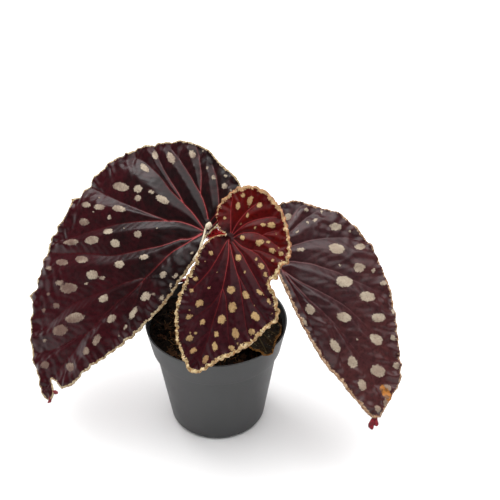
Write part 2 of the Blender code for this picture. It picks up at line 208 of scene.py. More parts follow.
# Cream spots as seen in the picture, in pixels: (x, y, length, width, turn of the length)
LEFT_SPOTS = [
    (121, 187, 16, 8.5, 8), (138.4, 189, 9, 8, 0), (151.4, 192, 6, 4, 20),
    (162.6, 199.6, 14.5, 7, 30), (138, 198.6, 7.4, 6.3, 0), (144.7, 168, 11, 6, 42),
    (155.6, 155.8, 9, 6.5, 62), (170.7, 158, 13, 6.6, 66), (192.4, 154.7, 8, 6, 75),
    (203, 151, 2, 2, 0), (207, 167.7, 2.8, 2.8, 0), (213.8, 178, 5, 4.2, 90),
    (224.6, 186, 6, 5.6, 60), (226, 176, 3.4, 2.4, 0), (231, 190, 4, 2, 70), (86.4, 205, 9, 6, 5),
    (99.7, 207.3, 10.5, 6.5, 5), (119, 208.7, 13, 7, 14), (109.5, 217.5, 4, 4, 0),
    (93.7, 212, 1.5, 1.5, 0), (99.5, 198, 1.7, 1.7, 0), (84, 222, 10, 7, 5),
    (108.5, 231.5, 10.5, 5.5, 0), (71.3, 242, 15.4, 7, 0), (92, 240.3, 14.7, 8.4, -4),
    (115.5, 243.5, 9.5, 8, 20), (138, 234.4, 8, 7, 0), (144, 257, 10, 5.5, -5),
    (62.2, 262.4, 12, 6.3, 0), (81.5, 259.6, 13, 7, 0), (49.6, 268.4, 5.6, 4.2, 0),
    (119.4, 264.3, 10.5, 8, 0), (92.7, 275, 12.3, 8.8, 0), (102.5, 278, 5.3, 3.5, 0),
    (87, 284, 3.5, 2.5, 0), (68.8, 288.4, 17, 10, -8), (60, 283, 8, 5, -15),
    (48.5, 294.4, 4.5, 3, 0), (56.6, 306, 7, 5.6, 0), (44, 310.5, 4.2, 3.9, 0),
    (103.6, 298.6, 11, 8.5, -20), (74.8, 318, 19.6, 10, -10), (60.4, 330.5, 15.4, 11, -10),
    (111.7, 318.6, 10.5, 7.5, -40), (97, 340, 12, 7, -60), (86.3, 351, 9, 6, -80),
    (45.5, 365, 9, 8, 0), (70.5, 367, 9, 8, 90), (45, 341, 5.6, 3, 0),
    (125.5, 327.4, 5.5, 3, -70), (133.5, 313.3, 14, 5.5, -62), (119.6, 336, 2, 2, 0),
    (163.3, 275, 8, 6, -30), (175.6, 276, 6.5, 4, -60), (170.7, 286, 5, 3, -70),
    (192, 253, 4, 3, -30), (146, 296.6, 11, 8, -40), (154.2, 294, 3, 3, 0),
    (162, 298, 6, 4.5, -50), (124.4, 228.5, 1.6, 1, 0), (157.4, 228.5, 1.6, 1, 0),
]
FRONT_SPOTS = [
    (243, 195, 4, 4, 0), (250.4, 200.8, 11, 4.6, -72), (259.5, 205.4, 5.6, 4.4, -30),
    (238.3, 206, 7, 4.4, 90), (247.7, 215.5, 5, 3, -65), (241, 224, 2, 1.2, -40),
    (225, 218, 3, 3, 0), (255, 227.8, 2, 2, 0), (262.8, 225, 5, 4, 0), (271.4, 225, 8, 6.2, 0),
    (242.7, 237.6, 4.2, 4.2, 0), (259.7, 242.5, 7.5, 7.2, 0), (268.2, 242.5, 3.4, 3.4, 0),
    (276.7, 234.5, 2.3, 2.3, 0), (272.5, 250.6, 7, 5, 15), (278.7, 248.3, 2.2, 2, 0),
    (281, 253.7, 5, 4, 30), (238, 258, 7, 5.5, 90), (256.4, 259.4, 4, 2.5, 90),
    (261.5, 266, 6.5, 5, 60), (273, 260.4, 3, 3, 0), (266, 274.4, 5, 4, 60),
    (245, 272, 3, 2, 90), (217, 272.7, 1.5, 1.5, 0), (211.2, 253.3, 5, 4, 90),
    (205, 261.4, 2, 1.6, 0), (196, 279, 5, 4, -30), (192, 291, 4.5, 4, 0),
    (209.2, 288.2, 3, 2.4, -30), (231, 290, 8.5, 7.2, 90), (246, 295.4, 9, 6, 65),
    (259.7, 292.2, 9, 4.6, 42), (199.7, 303.5, 8.6, 7, -40), (232.3, 307.2, 10.5, 6.8, 90),
    (254.4, 305.6, 1.5, 1.5, 0), (269, 301, 6, 3.6, 70), (189.4, 317, 7, 5, -25),
    (190, 310, 3, 1.5, 0), (221.6, 319.5, 9.5, 7.2, 90), (202.5, 322, 7.4, 5, -60),
    (255.7, 316.6, 10, 7.4, 50), (272.2, 314, 2.3, 2.3, 0), (190, 338.3, 7.4, 5.6, -25),
    (195.8, 333, 3.4, 2.8, 0), (190.4, 332.4, 2, 2, 0), (216.5, 334.4, 6, 4.5, 90),
    (235.4, 333.6, 11, 6.8, 80), (252, 332, 7, 5.8, 60), (193.4, 350.4, 7.6, 5.6, -40),
    (215, 346.5, 10, 5.5, 85), (232, 348.5, 5.6, 5, 60), (237.6, 344, 2, 2, 0),
    (205.5, 359.5, 10, 5, -60),
]
RIGHT_SPOTS = [
    (306.4, 210, 4.8, 4.4, 0), (321.8, 211.5, 3.5, 3.5, 0), (288, 217, 8, 6, -30),
    (315.5, 220, 5, 3, -20), (307.5, 222.6, 2.8, 2.2, 0), (335.4, 227, 11.5, 8, 0),
    (297.6, 231.7, 4.4, 2, -35), (349.5, 232, 2, 2, 0), (300.6, 249.6, 8.5, 4.5, 0),
    (336.6, 248.5, 16, 11, 8), (359.8, 247, 10, 6, 0), (359, 268, 11.5, 9, 0),
    (339.5, 265.4, 2.5, 2.5, 0), (373, 270.7, 4, 4, 0), (383.5, 283.6, 7, 5, 0),
    (344.5, 281.5, 17, 11.5, 10), (367.4, 296.6, 15, 11, 8), (310, 309.3, 10.5, 9, 60),
    (344.2, 317.3, 15, 10, 15), (378.2, 318, 14, 9, 0), (393, 311, 7, 3, 80),
    (376, 339.7, 14, 10, 40), (357, 339.5, 2, 2, 0), (393, 337.5, 6, 4.5, 30),
    (335, 345.8, 15, 8.6, 62), (352.5, 362.4, 12.5, 9.6, 70), (377.7, 371, 15, 12, 20),
    (396, 365.7, 7, 5.6, 80), (362, 384.8, 12.5, 8, 70), (386.8, 388, 8.5, 7, 0),
    (377.3, 408.8, 7, 5.6, 60), (304.7, 322.6, 9, 3, 65), (350.5, 398.5, 6, 2.6, 40),
    (359.5, 402.5, 7, 3.4, 40), (366, 411, 12, 3.6, 42), (385.5, 402.5, 9, 5, 80),
]

# Veins read off the picture: (strength of its colour, pixels from the foot outwards)
LEFT_VEINS = [
    (0.5, [(210, 222), (216, 214), (218.9, 205), (218.5, 195), (217.5, 184), (216, 175),
           (212, 165)]),
    (1.0, [(208.3, 219), (206.7, 211), (205, 205), (203, 199), (201, 194.4), (201.3, 185),
           (201.3, 175), (200.5, 165), (199, 156), (197, 148)]),
    (0.8, [(201, 194.4), (197.8, 189), (195, 184.4), (192.2, 179), (187.8, 172), (184.4, 166.7),
           (180, 160), (175.6, 154.4), (171, 149)]),
    (1.0, [(203.5, 228), (200, 222.8), (195.6, 216.7), (191, 211), (186.7, 206.7), (184.4, 204),
           (178, 192.5), (170, 180), (163, 168), (158.5, 158), (155.5, 150)]),
    (0.8, [(184.4, 204), (177, 197), (170.3, 190), (163, 180), (156, 172), (146.5, 163.7),
           (136, 157.5)]),
    (1.0, [(203.3, 231), (191.4, 225.4), (180, 222), (169, 221.3), (156, 221.2), (136.6, 222),
           (114, 225.4), (91.7, 231.7), (72, 238), (55.3, 242.3)]),
    (0.8, [(169, 221.3), (153.5, 215.6), (136.6, 208.6), (119.8, 201.6), (100, 191.7),
           (86, 183.3)]),
    (1.0, [(202.6, 233), (191.4, 238.7), (180, 239.8), (170, 243.5), (160, 246.5), (150, 248.5),
           (140, 250.5), (130, 252.8), (112, 255.8), (92, 254), (80, 253.5), (63, 253.9),
           (51, 252.8)]),
    (1.0, [(202, 234.5), (190, 241.5), (180, 247.5), (170, 254), (163, 261), (155, 269),
           (148, 276), (143, 281), (135.6, 289), (127.8, 295.6), (120, 300.5), (111, 309),
           (102, 318), (95.6, 325.6), (87.8, 333.3), (82, 340), (77.8, 346.7), (72, 354.4),
           (65.6, 363), (60, 371), (55.6, 377.8)]),
    (0.8, [(145.6, 278.3), (139, 279), (130, 281.7), (119, 285.6), (107.8, 290), (96.7, 294),
           (90, 296.7), (80, 301), (72, 305.6), (63, 312), (55.6, 319), (47.8, 325.6),
           (41, 330)]),
    (0.5, [(143, 282), (139.5, 292), (136.5, 300), (131.5, 309), (127.5, 319), (121.5, 328),
           (114, 340), (110, 350)]),
    (0.5, [(88, 333.3), (78, 337.5), (66, 344), (53, 350), (38, 353)]),
]
FRONT_VEINS = [
    (1.0, [(229, 240), (229, 250), (228.3, 260), (226.5, 270), (224.7, 280), (222.7, 288.5),
           (220.8, 296), (219, 303.5), (216.4, 311.5), (213.3, 321), (210.5, 331),
           (207.5, 340.8), (204, 350), (200, 360), (197, 366)]),
    (0.8, [(222.7, 288.5), (225.8, 297.5), (227, 310), (227.8, 322), (228.5, 335), (230, 345),
           (233, 352)]),
    (0.9, [(230.5, 245), (232.5, 255), (235, 265), (237, 272.5), (239.5, 281), (241.5, 292),
           (243, 305), (244.7, 318), (247, 330), (250, 342)]),
    (0.6, [(237, 272.5), (242.5, 283), (248.3, 293.5), (252.5, 303), (259, 311.5), (266, 321)]),
    (0.8, [(233, 242), (238, 249), (242.6, 255), (247, 263.5), (251.4, 271.3), (255.8, 279),
           (259.7, 286.3), (264, 293.8), (268, 300)]),
    (0.8, [(234.5, 240), (242, 246.3), (249.7, 249.8), (258.3, 255), (264.5, 262.5),
           (268.3, 269), (270, 276)]),
    (0.5, [(249.7, 249.8), (260, 251), (268, 254), (276, 257)]),
    (0.8, [(234, 237.5), (240.8, 233.8), (248.3, 232.5), (255.8, 233), (262, 235.5),
           (268.3, 239), (274, 243.8), (280, 248)]),
    (0.5, [(262, 235.5), (269, 232.5), (277, 231)]),
    (0.9, [(234, 234), (239.5, 229), (246, 224), (254, 220.6), (262, 218.6), (270, 217.3),
           (277, 217.5)]),
    (0.9, [(232.5, 233), (235.8, 226.3), (240, 220), (246.4, 212.5), (252, 207.3), (258, 203)]),
    (0.9, [(231, 232.5), (231, 225), (231, 215), (231.5, 205), (233, 197)]),
    (0.8, [(227.2, 241), (222, 250), (216.4, 260), (210.7, 269), (204, 277), (197, 284.7),
           (190, 292)]),
    (0.5, [(222.7, 288.5), (218.5, 296), (212.5, 303.5), (206, 309.5), (199, 315), (191, 321),
           (185, 325)]),
    (0.4, [(210.5, 331), (203.3, 336.3), (197, 341.3), (188, 347)]),
]
RIGHT_VEINS = [
    (1.0, [(281, 269), (290, 275.5), (300, 282), (320, 292), (340, 303), (352, 312.5),
           (362, 322), (372, 331), (384, 345), (394, 357)]),
    (1.0, [(282, 270.5), (288.5, 277.5), (295, 285), (308, 299), (322, 311.5), (332, 321.5),
           (341, 332), (349.5, 343), (359.5, 356), (368, 370), (374, 385)]),
    (0.4, [(332, 328), (337.5, 346), (342, 361.4), (346.5, 376), (350, 392)]),
    (0.7, [(282, 272), (290.7, 285.7), (300.7, 305.7), (309.3, 323), (318, 341.4), (325, 358.6),
           (332, 368.6)]),
    (0.8, [(283, 265), (290, 261.5), (300, 262.5), (312, 264.3), (325, 268.5), (337, 272.5),
           (349, 278.5), (360, 283.5), (371, 288.5), (382, 296), (389, 304)]),
    (0.7, [(292, 246), (300, 243.5), (308, 241), (320, 239), (333, 238), (345, 238), (357, 240),
           (366, 243)]),
    (0.6, [(291, 231.5), (297, 226), (304, 220), (311, 215), (318, 211), (325, 208)]),
    (0.4, [(288, 222), (296, 211), (305, 204)]),
]
# Pointed corners of the left margin, read in the same way
LEFT_CORNERS = [(74.4, 200.5), (96.5, 177), (52, 240), (32, 297.5), (115, 163), (130, 155)]

# The curled cream margin beside the left foot, and torn bits at the tips. The curl lies a pixel or
# two right of the read band, and some points between the read ones are judged.
SINUS_CURL = [(193.5, 260.5), (196.5, 256.7), (199.4, 251.7), (201.4, 246), (203, 240),
              (204.6, 234.5), (206, 229.5), (209, 226.2), (209.8, 222.8)]
SINUS_CURL_RADII = (0.9, 1.5, 1.2, 1.1, 0.9, 0.9, 1.2, 2.6, 1.4)
LEFT_TATTERS = [[(47.5, 403.2), (48.8, 399), (50.2, 395.5), (52.4, 395.8), (51.7, 399),
                 (50.6, 402)],
                [(53, 393.6), (54.2, 390), (57.9, 391.7), (56.8, 394.2)]]
RIGHT_TATTERS = [[(374.5, 414.5), (372, 417.5), (368.2, 424.6), (369.6, 428.5), (372.7, 429.6),
                  (374.1, 425.4), (376.6, 426.4), (378.7, 423.9), (377.4, 419), (377.6, 415.5)]]
SCORCH = (386.8, 394.7)

LEFT = Blade(
    name="leaf_left", foot=(-5.0, 2.0, 191.2),
    heading=205, dip=36, roll=-20, cup=0.8, crown_reach=55, fold=0.75,
    stalk_aim=(0.255, -0.517, 0.817),
    outline=[(-255, 4.2), (-232, 4.6), (-222, 5.8), (-213, 7.8), (-204, 10.3), (-195, 15.5),
             (-186, 25), (-178, 37), (-170, 44.5), (-162, 48), (-154, 50), (-142, 55.5), (-136, 60.4),
             (-129, 69), (-118, 79), (-107, 88), (-86, 110), (-70, 125), (-61, 131), (-53, 142),
             (-43, 155), (-32, 168), (-22, 183), (-13, 193), (-7.8, 194.7), (-5.4, 199),
             (-1.6, 199), (-0.8, 194), (-1.6, 188.5), (-4.6, 185.5), (-2.6, 181.5), (0, 180.6),
             (1.6, 172), (2.3, 163), (3, 151), (9, 110), (16, 71), (23, 41), (30, 27), (38, 14),
             (52, 6), (80, 4.5)],
    veins=[(-190, -172, 38)], marks=LEFT_VEINS, corners=LEFT_CORNERS, crest=0.34, pleat=4.8,
    spots=LEFT_SPOTS, hidden_spots=2, hidden_bearings=(-196, -178))

FRONT = Blade(
    name="leaf_front", foot=(13.9, -26.0, 205.7),
    heading=256, dip=44, roll=8, crown=0.3, crown_reach=30, fold=0.35, fold_side=-1,
    back_drop=0.5, pleat=4.4, ruffle=1.3, ruffle_length=7.5,
    outline=[(262, 3.6), (256, 6), (250, 9.5), (240, 12.4), (230.6, 15.3), (224, 19.5), (209, 26),
             (195, 31), (180, 37), (160, 42), (141, 44), (118, 45), (95, 48), (80, 51.7),
             (72, 52), (68, 49.5), (60, 50.6), (55.6, 51.5), (51, 49.3), (48.7, 52), (47.5, 57),
             (46, 63.5), (43.5, 67.8), (43.2, 71), (39.1, 76), (32, 78), (17, 87), (4, 96),
             (-3, 105), (-7, 108), (-12, 105), (-24, 87), (-35, 65), (-41, 48), (-46, 35.5),
             (-54.5, 30.2), (-61.6, 25), (-68, 20.3), (-76, 15.5), (-83, 9.4), (-89, 5.8)],
    veins=[], marks=FRONT_VEINS,
    scallop=0.5, net_step=0.85, tooth=0.9, tooth_length=5.0, hem=0.8, hem_width=2.6, quilt=0.2,
    wrinkle=0.1, side_vein_step=6.0, spots=FRONT_SPOTS)

RIGHT = Blade(
    name="leaf_right", foot=(50.5, 0.0, 159.9),
    heading=313, dip=34, roll=18, crown_reach=45, fold=0.9, fold_side=-1,
    outline=[(215, 4.5), (185, 10), (165, 27), (150, 45), (132, 55), (118, 58), (105, 63),
             (92, 70), (71, 80), (57, 86), (47, 94), (38, 102), (29, 111), (21, 124), (14, 137),
             (8, 141), (3, 145.5), (1.2, 147.8), (-0.8, 146.5), (-1.8, 143), (-2.5, 137),
             (-5, 111), (-9, 84), (-13, 55), (-17, 34), (-22, 20), (-36, 9), (-70, 5), (-120, 4.5)],
    veins=[(140, 124, 52), (168, 158, 32)], marks=RIGHT_VEINS, crest=0.64, pleat=4.6,
    net_step=1.0, calm_side=-1, wrinkle=1.9, wrinkle_length=9.5, wrinkle_bearing=38.0,
    scallop=0.8, hem=0.25, hem_width=1.8,
    spots=RIGHT_SPOTS, hidden_spots=4, hidden_bearings=(140, 164))

WITHERED = Blade(
    name="leaf_withered", foot=(29.0, -12.5, 109.5),
    heading=295, dip=9, roll=-4, bend=0.0, cup=2.0, back_drop=0.0, crown=0.0, pleat=2.2,
    ruffle=0.9, ruffle_length=9,
    outline=[(185, 5), (140, 10), (105, 17), (70, 24), (45, 27), (23, 28.5), (7, 36), (-2, 40),
             (-9, 37), (-25, 31), (-50, 27), (-80, 21), (-120, 13), (-155, 7)],
    veins=[(-4, -3, 36), (16, 14, 28), (42, 36, 23), (75, 66, 20), (-24, -22, 27), (-48, -44, 24),
           (-80, -74, 18)],
    scallop=0.3, net_step=0.6, tooth=0.5, tooth_length=3.0, hem=0.1, quilt=0.5, wrinkle=0.5,
    wrinkle_length=3.5, side_vein_step=4.0)

# Stalk routes in mm, from above the rhizome to just before the end
STALK_SOCKETS = {"petiole_left": 92, "petiole_old": 164, "petiole_front": 236,
                 "petiole_withered": 308, "petiole_right": 20}
STALK_ROUTES = {
    "petiole_left": [(9, 14, 125), (12, 15, 152), (9.5, 11, 175.5)],
    "petiole_front": [(6, -5, 128), (11, -10, 170), (16, -14, 202)],
    "petiole_right": [(19, 8, 128), (33, 11, 150)],
    "petiole_withered": [(15, -3, 116), (21, -4, 109)],
    "petiole_old": [(0, 12, 118), (-4, 28, 117), (-15, 45, 109), (-31, 50.5, 104.6),
                    (-45, 44, 106)],
}
STALK_BLADES = {"petiole_left": LEFT, "petiole_front": FRONT, "petiole_right": RIGHT,
                "petiole_withered": WITHERED}

# Dense hairs under a blade: share of the setting, reach down the stalk in mm, and added length
TUFTS = {"petiole_left": (3.4, 26, 2.9), "petiole_front": (0.6, 19, 1.5),
         "petiole_right": (0.6, 19, 1.5)}
TUFT_LIFT = 0.35


def length(name, description, default):
    """A length in metres, shown in the scene's units."""
    return FloatProperty(name=name, description=description, default=default, min=0,
                         unit="LENGTH", subtype="DISTANCE", precision=5)


def shade(name, description, default):
    """A linear colour."""
    return FloatVectorProperty(name=name, description=description, default=default, size=3,
                               min=0, max=1, subtype="COLOR")


class PotSettings(bpy.types.PropertyGroup):
    """The nursery pot"""
    height: length("Height", "From the floor to the rim", 102 * MM)
    rim_radius: length("Rim radius", "Outer radius at the rim", 60 * MM)
    wall: length("Wall", "Thickness of the plastic", 1.5 * MM)
    edge_round: length("Edge rounding", "Radius of the pot's rounded edges", 0.8 * MM)
    slot_width: length("Slot width", "Width of one drain slot", 8 * MM)
    slot_height: length("Slot height", "Height of one drain slot above the floor", 3.6 * MM)
    slots: IntProperty(name="Slots", description="Number of drain slots", default=8, min=0)
    steps: IntProperty(name="Steps", description="Facets round the pot", default=160, min=12)
    colour: shade("Plastic", "Colour of the plastic", (0.0283, 0.0289, 0.0298))


class SoilSettings(bpy.types.PropertyGroup):
    """The peat and what lies on it"""
    grain: length("Grain", "Height of the small clods", 1.3 * MM)
    crumbs: IntProperty(name="Crumbs", description="Loose crumbs of peat", default=700, min=0)
    chips: IntProperty(name="Chips", description="Flakes of bark", default=150, min=0)
    fibres: IntProperty(name="Fibres", description="Loose root fibres", default=240, min=0)
    peat: shade("Peat", "Colour of the peat", (0.0045, 0.0028, 0.0018))
    bark: shade("Bark", "Colour of the flakes", (0.065, 0.030, 0.014))
    fibre: shade("Fibre", "Colour of the fibres", (0.18, 0.095, 0.036))


class LeafSettings(bpy.types.PropertyGroup):
    """Colours of the spotted leaves"""
    dark: shade("Dark lamina", "Left leaf near its foot", (0.009, 0.0028, 0.0032))
    maroon: shade("Maroon lamina", "Left leaf towards its margin", (0.030, 0.0028, 0.0048))
    mauve: shade("Mauve lamina", "Right leaf near its foot", (0.036, 0.011, 0.013))
    brown: shade("Brown lamina", "Right leaf towards its margin", (0.058, 0.015, 0.015))
    # Painted backlight: bright red where light would shine through the young leaf, round and behind its
    # foot
    painted_backlight: shade("Glow", "Young leaf round and behind its foot", (0.070, 0.0022, 0.0015))
    plum: shade("Plum", "Young leaf towards its tip", (0.027, 0.0040, 0.0062))
    vein: shade("Vein", "Main veins near the foot", (0.27, 0.028, 0.030))
    spot: shade("Spot", "Cream spots of the full-grown leaves", (0.38, 0.315, 0.235))
    faded: shade("Faded spot", "Pinkish brown spots towards the left margin", (0.14, 0.085, 0.066))
    stain: shade("Stained spot", "Brownish spots of the right leaf", (0.27, 0.19, 0.14))
    warm: shade("Warm spot", "Spots of the young leaf", (0.39, 0.26, 0.12))
    brown_spot: shade("Brown spot", "Browner spots of the young leaf", (0.24, 0.13, 0.06))
    margin: shade("Margin", "Margin of the left leaf", (0.42, 0.34, 0.21))
    tan: shade("Tan margin", "Margin of the right leaf", (0.42, 0.28, 0.175))
    golden: shade("Golden margin", "Margin of the young leaf", (0.47, 0.36, 0.195))
    rosy: shade("Rosy margin", "Margin of the young leaf behind its foot", (0.47, 0.275, 0.140))
    curl: shade("Curl", "Curled margin beside the left foot", (0.52, 0.45, 0.33))
    scorch: shade("Scorch", "Dead orange-brown patch near the right tip", (0.36, 0.13, 0.02))
    tatter: shade("Tatter", "Torn red bits at the tips", (0.22, 0.004, 0.014))
    under: shade("Underside", "Underside of the leaves", (0.13, 0.014, 0.018))
    olive: shade("Olive", "Veins of the withered leaf", (0.070, 0.050, 0.020))


class StalkSettings(bpy.types.PropertyGroup):
    """Leaf stalks and the rhizome"""
    foot_radius: length("Foot radius", "Radius at the rhizome", 2.4 * MM)
    top_radius: length("Top radius", "Radius under the blade", 1.6 * MM)
    hair_length: length("Hair length", "Longest hairs", 2.6 * MM)
    hair_radius: length("Hair radius", "Radius of a hair at its root", 0.11 * MM)
    hairs: FloatProperty(name="Hairs", description="Hairs on each millimetre of stalk",
                         default=9, min=0)
    tuft: IntProperty(name="Tuft", description="Extra hairs under a blade", default=900, min=0)
    red: shade("Red", "Colour of the stalks", (0.20, 0.006, 0.010))
    hair: shade("Hair", "Colour of the hairs", (0.80, 0.018, 0.030))


class StageSettings(bpy.types.PropertyGroup):
    """Floor, light and world"""
    floor_radius: length("Floor radius", "Radius of the pale floor", 25.0)
    key: FloatProperty(name="Key light", description="Power of the large top light", default=18,
                       unit="POWER", min=0)
    key_size: length("Key light size", "Side of the large top light", 3.0)
    back: FloatProperty(name="Back light", description="Power of the light behind, at the left",
                        default=14, unit="POWER", min=0)
    back_size: length("Back light size", "Side of the light behind", 0.9)
    sky: FloatProperty(name="Sky", description="Strength of the surroundings overhead", default=3.6,
                       min=0)
    horizon: FloatProperty(name="Horizon", description="Strength of the surroundings low down",
                           default=0.14, min=0)


# Material building

def scaled(colour, by):
    """The colour with its channels multiplied by one number, or by three."""
    factors = by if isinstance(by, tuple) else (by, by, by)
    return tuple(min(1, channel * factor) for channel, factor in zip(colour, factors))


class Paint:
    """One procedural material. An input takes a plain value or another node's socket."""

    def __init__(self, name):
        self.material = bpy.data.materials.new(name)
        self.material.use_nodes = True
        self.tree = self.material.node_tree
        self.shader = self.tree.nodes["Principled BSDF"]
        self.place = self.node("ShaderNodeTexCoord").outputs["Object"]

    def put(self, socket, value):
        if isinstance(value, bpy.types.NodeSocket):
            self.tree.links.new(value, socket)
        elif hasattr(value, "__len__") and len(socket.default_value) == 4:
            socket.default_value = (*tuple(value)[:3], 1)
        else:
            socket.default_value = value

    def node(self, kind, inputs=None, **settings):
        made = self.tree.nodes.new(kind)
        for name, value in settings.items():
            setattr(made, name, value)
        for name, value in (inputs or {}).items():
            self.put(made.inputs[name], value)
        return made

    def math(self, operation, a, b, clamp=False):
        made = self.node("ShaderNodeMath", {0: a, 1: b}, operation=operation, use_clamp=clamp)
        return made.outputs[0]

    def add(self, *values):
        return reduce(lambda a, b: self.math("ADD", a, b), values)

    def times(self, a, b, clamp=False):
        return self.math("MULTIPLY", a, b, clamp)

    def blend(self, share, a, b, kind="MIX"):
        made = self.node("ShaderNodeMix", data_type="RGBA", blend_type=kind)
        self.put(made.inputs["Factor"], share)
        for key, value in (("A", a), ("B", b)):
            self.put(next(s for s in made.inputs if s.name == key and s.type == "RGBA"), value)
        return next(s for s in made.outputs if s.type == "RGBA")

    def coats(self, colour, *coats):
        """The colour under coats of (share, colour), the last one on top."""
        return reduce(lambda under, coat: self.blend(coat[0], under, coat[1]), coats, colour)

    def ramp(self, value, low, high, at_low=0.0, at_high=1.0):
        """at_low below low, at_high above high, and smooth between."""
        made = self.node("ShaderNodeMapRange", {"Value": value, "From Min": low, "From Max": high,
                                                "To Min": at_low, "To Max": at_high},
                         interpolation_type="SMOOTHSTEP")
        return made.outputs["Result"]

    def noise(self, size, detail=3.0, roughness=0.55, stretch=None):
        """Noise from 0 to 1, whose main lumps have that size in metres."""
        place = self.place
        if stretch:
            place = self.node("ShaderNodeMapping", {"Vector": place, "Scale": stretch}).outputs[0]
        made = self.node("ShaderNodeTexNoise", {"Vector": place, "Scale": 1 / size,
                                                "Detail": detail, "Roughness": roughness})
        return made.outputs[0]

    def cells(self, size):
        made = self.node("ShaderNodeTexVoronoi", {"Vector": self.place, "Scale": 1 / size})
        return made.outputs["Distance"]

    def read(self, name):
        return self.node("ShaderNodeAttribute", attribute_name=name).outputs["Fac"]

    def bump(self, height, distance):
        inputs = {"Height": height, "Distance": distance, "Strength": 1.0}
        return self.node("ShaderNodeBump", inputs).outputs["Normal"]

    def finish(self, colour, roughness, normal=None, specular=0.5):
        self.put(self.shader.inputs["Base Color"], colour)
        self.put(self.shader.inputs["Roughness"], roughness)
        self.shader.inputs["Specular IOR Level"].default_value = specular
        if normal is not None:
            self.put(self.shader.inputs["Normal"], normal)
        return self.material


# Shapes

class Shell:
    """Gathers vertices, faces and face materials of one mesh."""

    def __init__(self):
        self.places, self.faces, self.kinds, self.count = [], [], [], 0

    def add(self, places, faces, kind=0):
        """Faces count from the first of their own places. A kind is one number or a list."""
        places = np.asarray(places, float)
        self.places.append(places)
        self.faces += [tuple(int(i) + self.count for i in face) for face in faces]
        self.kinds += kind if isinstance(kind, list) else [kind] * len(faces)
        self.count += len(places)

    def mesh(self, name):
        mesh = bpy.data.meshes.new(name)
        mesh.from_pydata(np.vstack(self.places).tolist(), [], self.faces)
        mesh.polygons.foreach_set("material_index", self.kinds)
        mesh.shade_smooth()
        return mesh


def add_piece(name, mesh, materials, replaced=None, sharp=None):
    """Links a finished mesh as a piece of the begonia."""
    piece = bpy.data.objects.new(name, mesh)
    for material in materials:
        mesh.materials.append(material)
    if sharp:
        mesh.set_sharp_from_angle(angle=math.radians(sharp))
    bpy.context.scene.collection.objects.link(piece)
    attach(piece, BODY)
    if replaced:
        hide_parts(replaced)


def smooth_line(points, step, closed=False):
    """Points at even steps along a Catmull-Rom curve through the given points."""
    points = np.array(points, float)
    if closed:
        padded = np.vstack([points[-1], points, points[:2]])
    else:
        padded = np.vstack([2 * points[0] - points[1], points, 2 * points[-1] - points[-2]])
    fine = []
    for a, b, c, d in zip(padded, padded[1:], padded[2:], padded[3:]):
        for t in np.arange(0, 1, CURVE_STEP):
            fine.append(b + 0.5 * t * (c - a + t * (2 * a - 5 * b + 4 * c - d
                                                    + t * (3 * (b - c) + d - a))))
    fine.append(padded[-2])
    fine = np.array(fine)
    run = np.concatenate([[0], np.cumsum(np.linalg.norm(np.diff(fine, axis=0), axis=1))])
    count = max(2, round(run[-1] / step))
    stations = np.linspace(0, run[-1], count + 1)
    even = np.stack([np.interp(stations, run, fine[:, i]) for i in range(fine.shape[1])], 1)
    return even[:-1] if closed else even


def band(a, b, count, flipped=False):
    """Faces between two rings of vertices whose first ones are a and b."""
    faces = [(a + i, b + i, b + (i + 1) % count, a + (i + 1) % count) for i in range(count)]
    return [(face[0], *face[:0:-1]) for face in faces] if flipped else faces


def fan(tip, first, count, flipped=False):
    """Faces between one vertex and a ring."""
    faces = [(tip, first + i, first + (i + 1) % count) for i in range(count)]
    return [face[::-1] for face in faces] if flipped else faces


def tube(points, radii, sides):
    """Vertices and faces of a closed tube along points, one radius for each."""
    points = np.asarray(points, float)
    if len(radii) != len(points):
        raise ValueError("a tube needs one radius for each point")
    along = np.gradient(points, axis=0)
    along /= np.linalg.norm(along, axis=1)[:, None]
    across = np.cross(along[0], (0.3, 0.5, 0.81))
    places, faces = [], []
    turn = np.arange(sides) * 2 * math.pi / sides
    for point, ahead, radius in zip(points, along, radii):
        across = across - ahead * np.dot(across, ahead)
        across /= np.linalg.norm(across)
        other = np.cross(ahead, across)
        places.append(point + radius * (np.outer(np.cos(turn), across)
                                        + np.outer(np.sin(turn), other)))
    for ring in range(len(points) - 1):
        faces += band(ring * sides, (ring + 1) * sides, sides, flipped=True)
    last = (len(points) - 1) * sides
    faces.append(tuple(range(sides - 1, -1, -1)))
    faces.append(tuple(range(last, last + sides)))
    return np.vstack(places), faces


def turned_mesh(name, profile, steps):
    """Turns an open profile, listed from top to bottom as (radius, height), about +Z."""
    line = bpy.data.meshes.new(name + "_profile")
    line.from_pydata([(r, 0, z) for r, z in profile],
                     [(i, i + 1) for i in range(len(profile) - 1)], [])
    item = bpy.data.objects.new(name + "_profile", line)
    bpy.context.scene.collection.objects.link(item)
    screw = item.modifiers.new("turn", "SCREW")
    screw.steps = screw.render_steps = steps
    screw.use_merge_vertices = True
    screw.merge_threshold = 0.00005
    mesh = bpy.data.meshes.new_from_object(item.evaluated_get(bpy.context.evaluated_depsgraph_get()))
    mesh.name = name
    bpy.data.objects.remove(item)
    return mesh


def hair_cones(shell, roots, tips, radii, kind):
    """Thin closed cones from each root to its tip."""
    for root, tip, radius in zip(roots, tips, radii):
        ahead = (tip - root) / np.linalg.norm(tip - root)
        across = np.cross(ahead, (0.2, 0.4, 0.9))
        across /= np.linalg.norm(across)
        other = np.cross(ahead, across)
        ring = [root + radius * (math.cos(a) * across + math.sin(a) * other)
                for a in (0, 2.094, 4.189)]
        shell.add([*ring, tip], [(2, 1, 0), (0, 1, 3), (1, 2, 3), (2, 0, 3)], kind)


# The pot

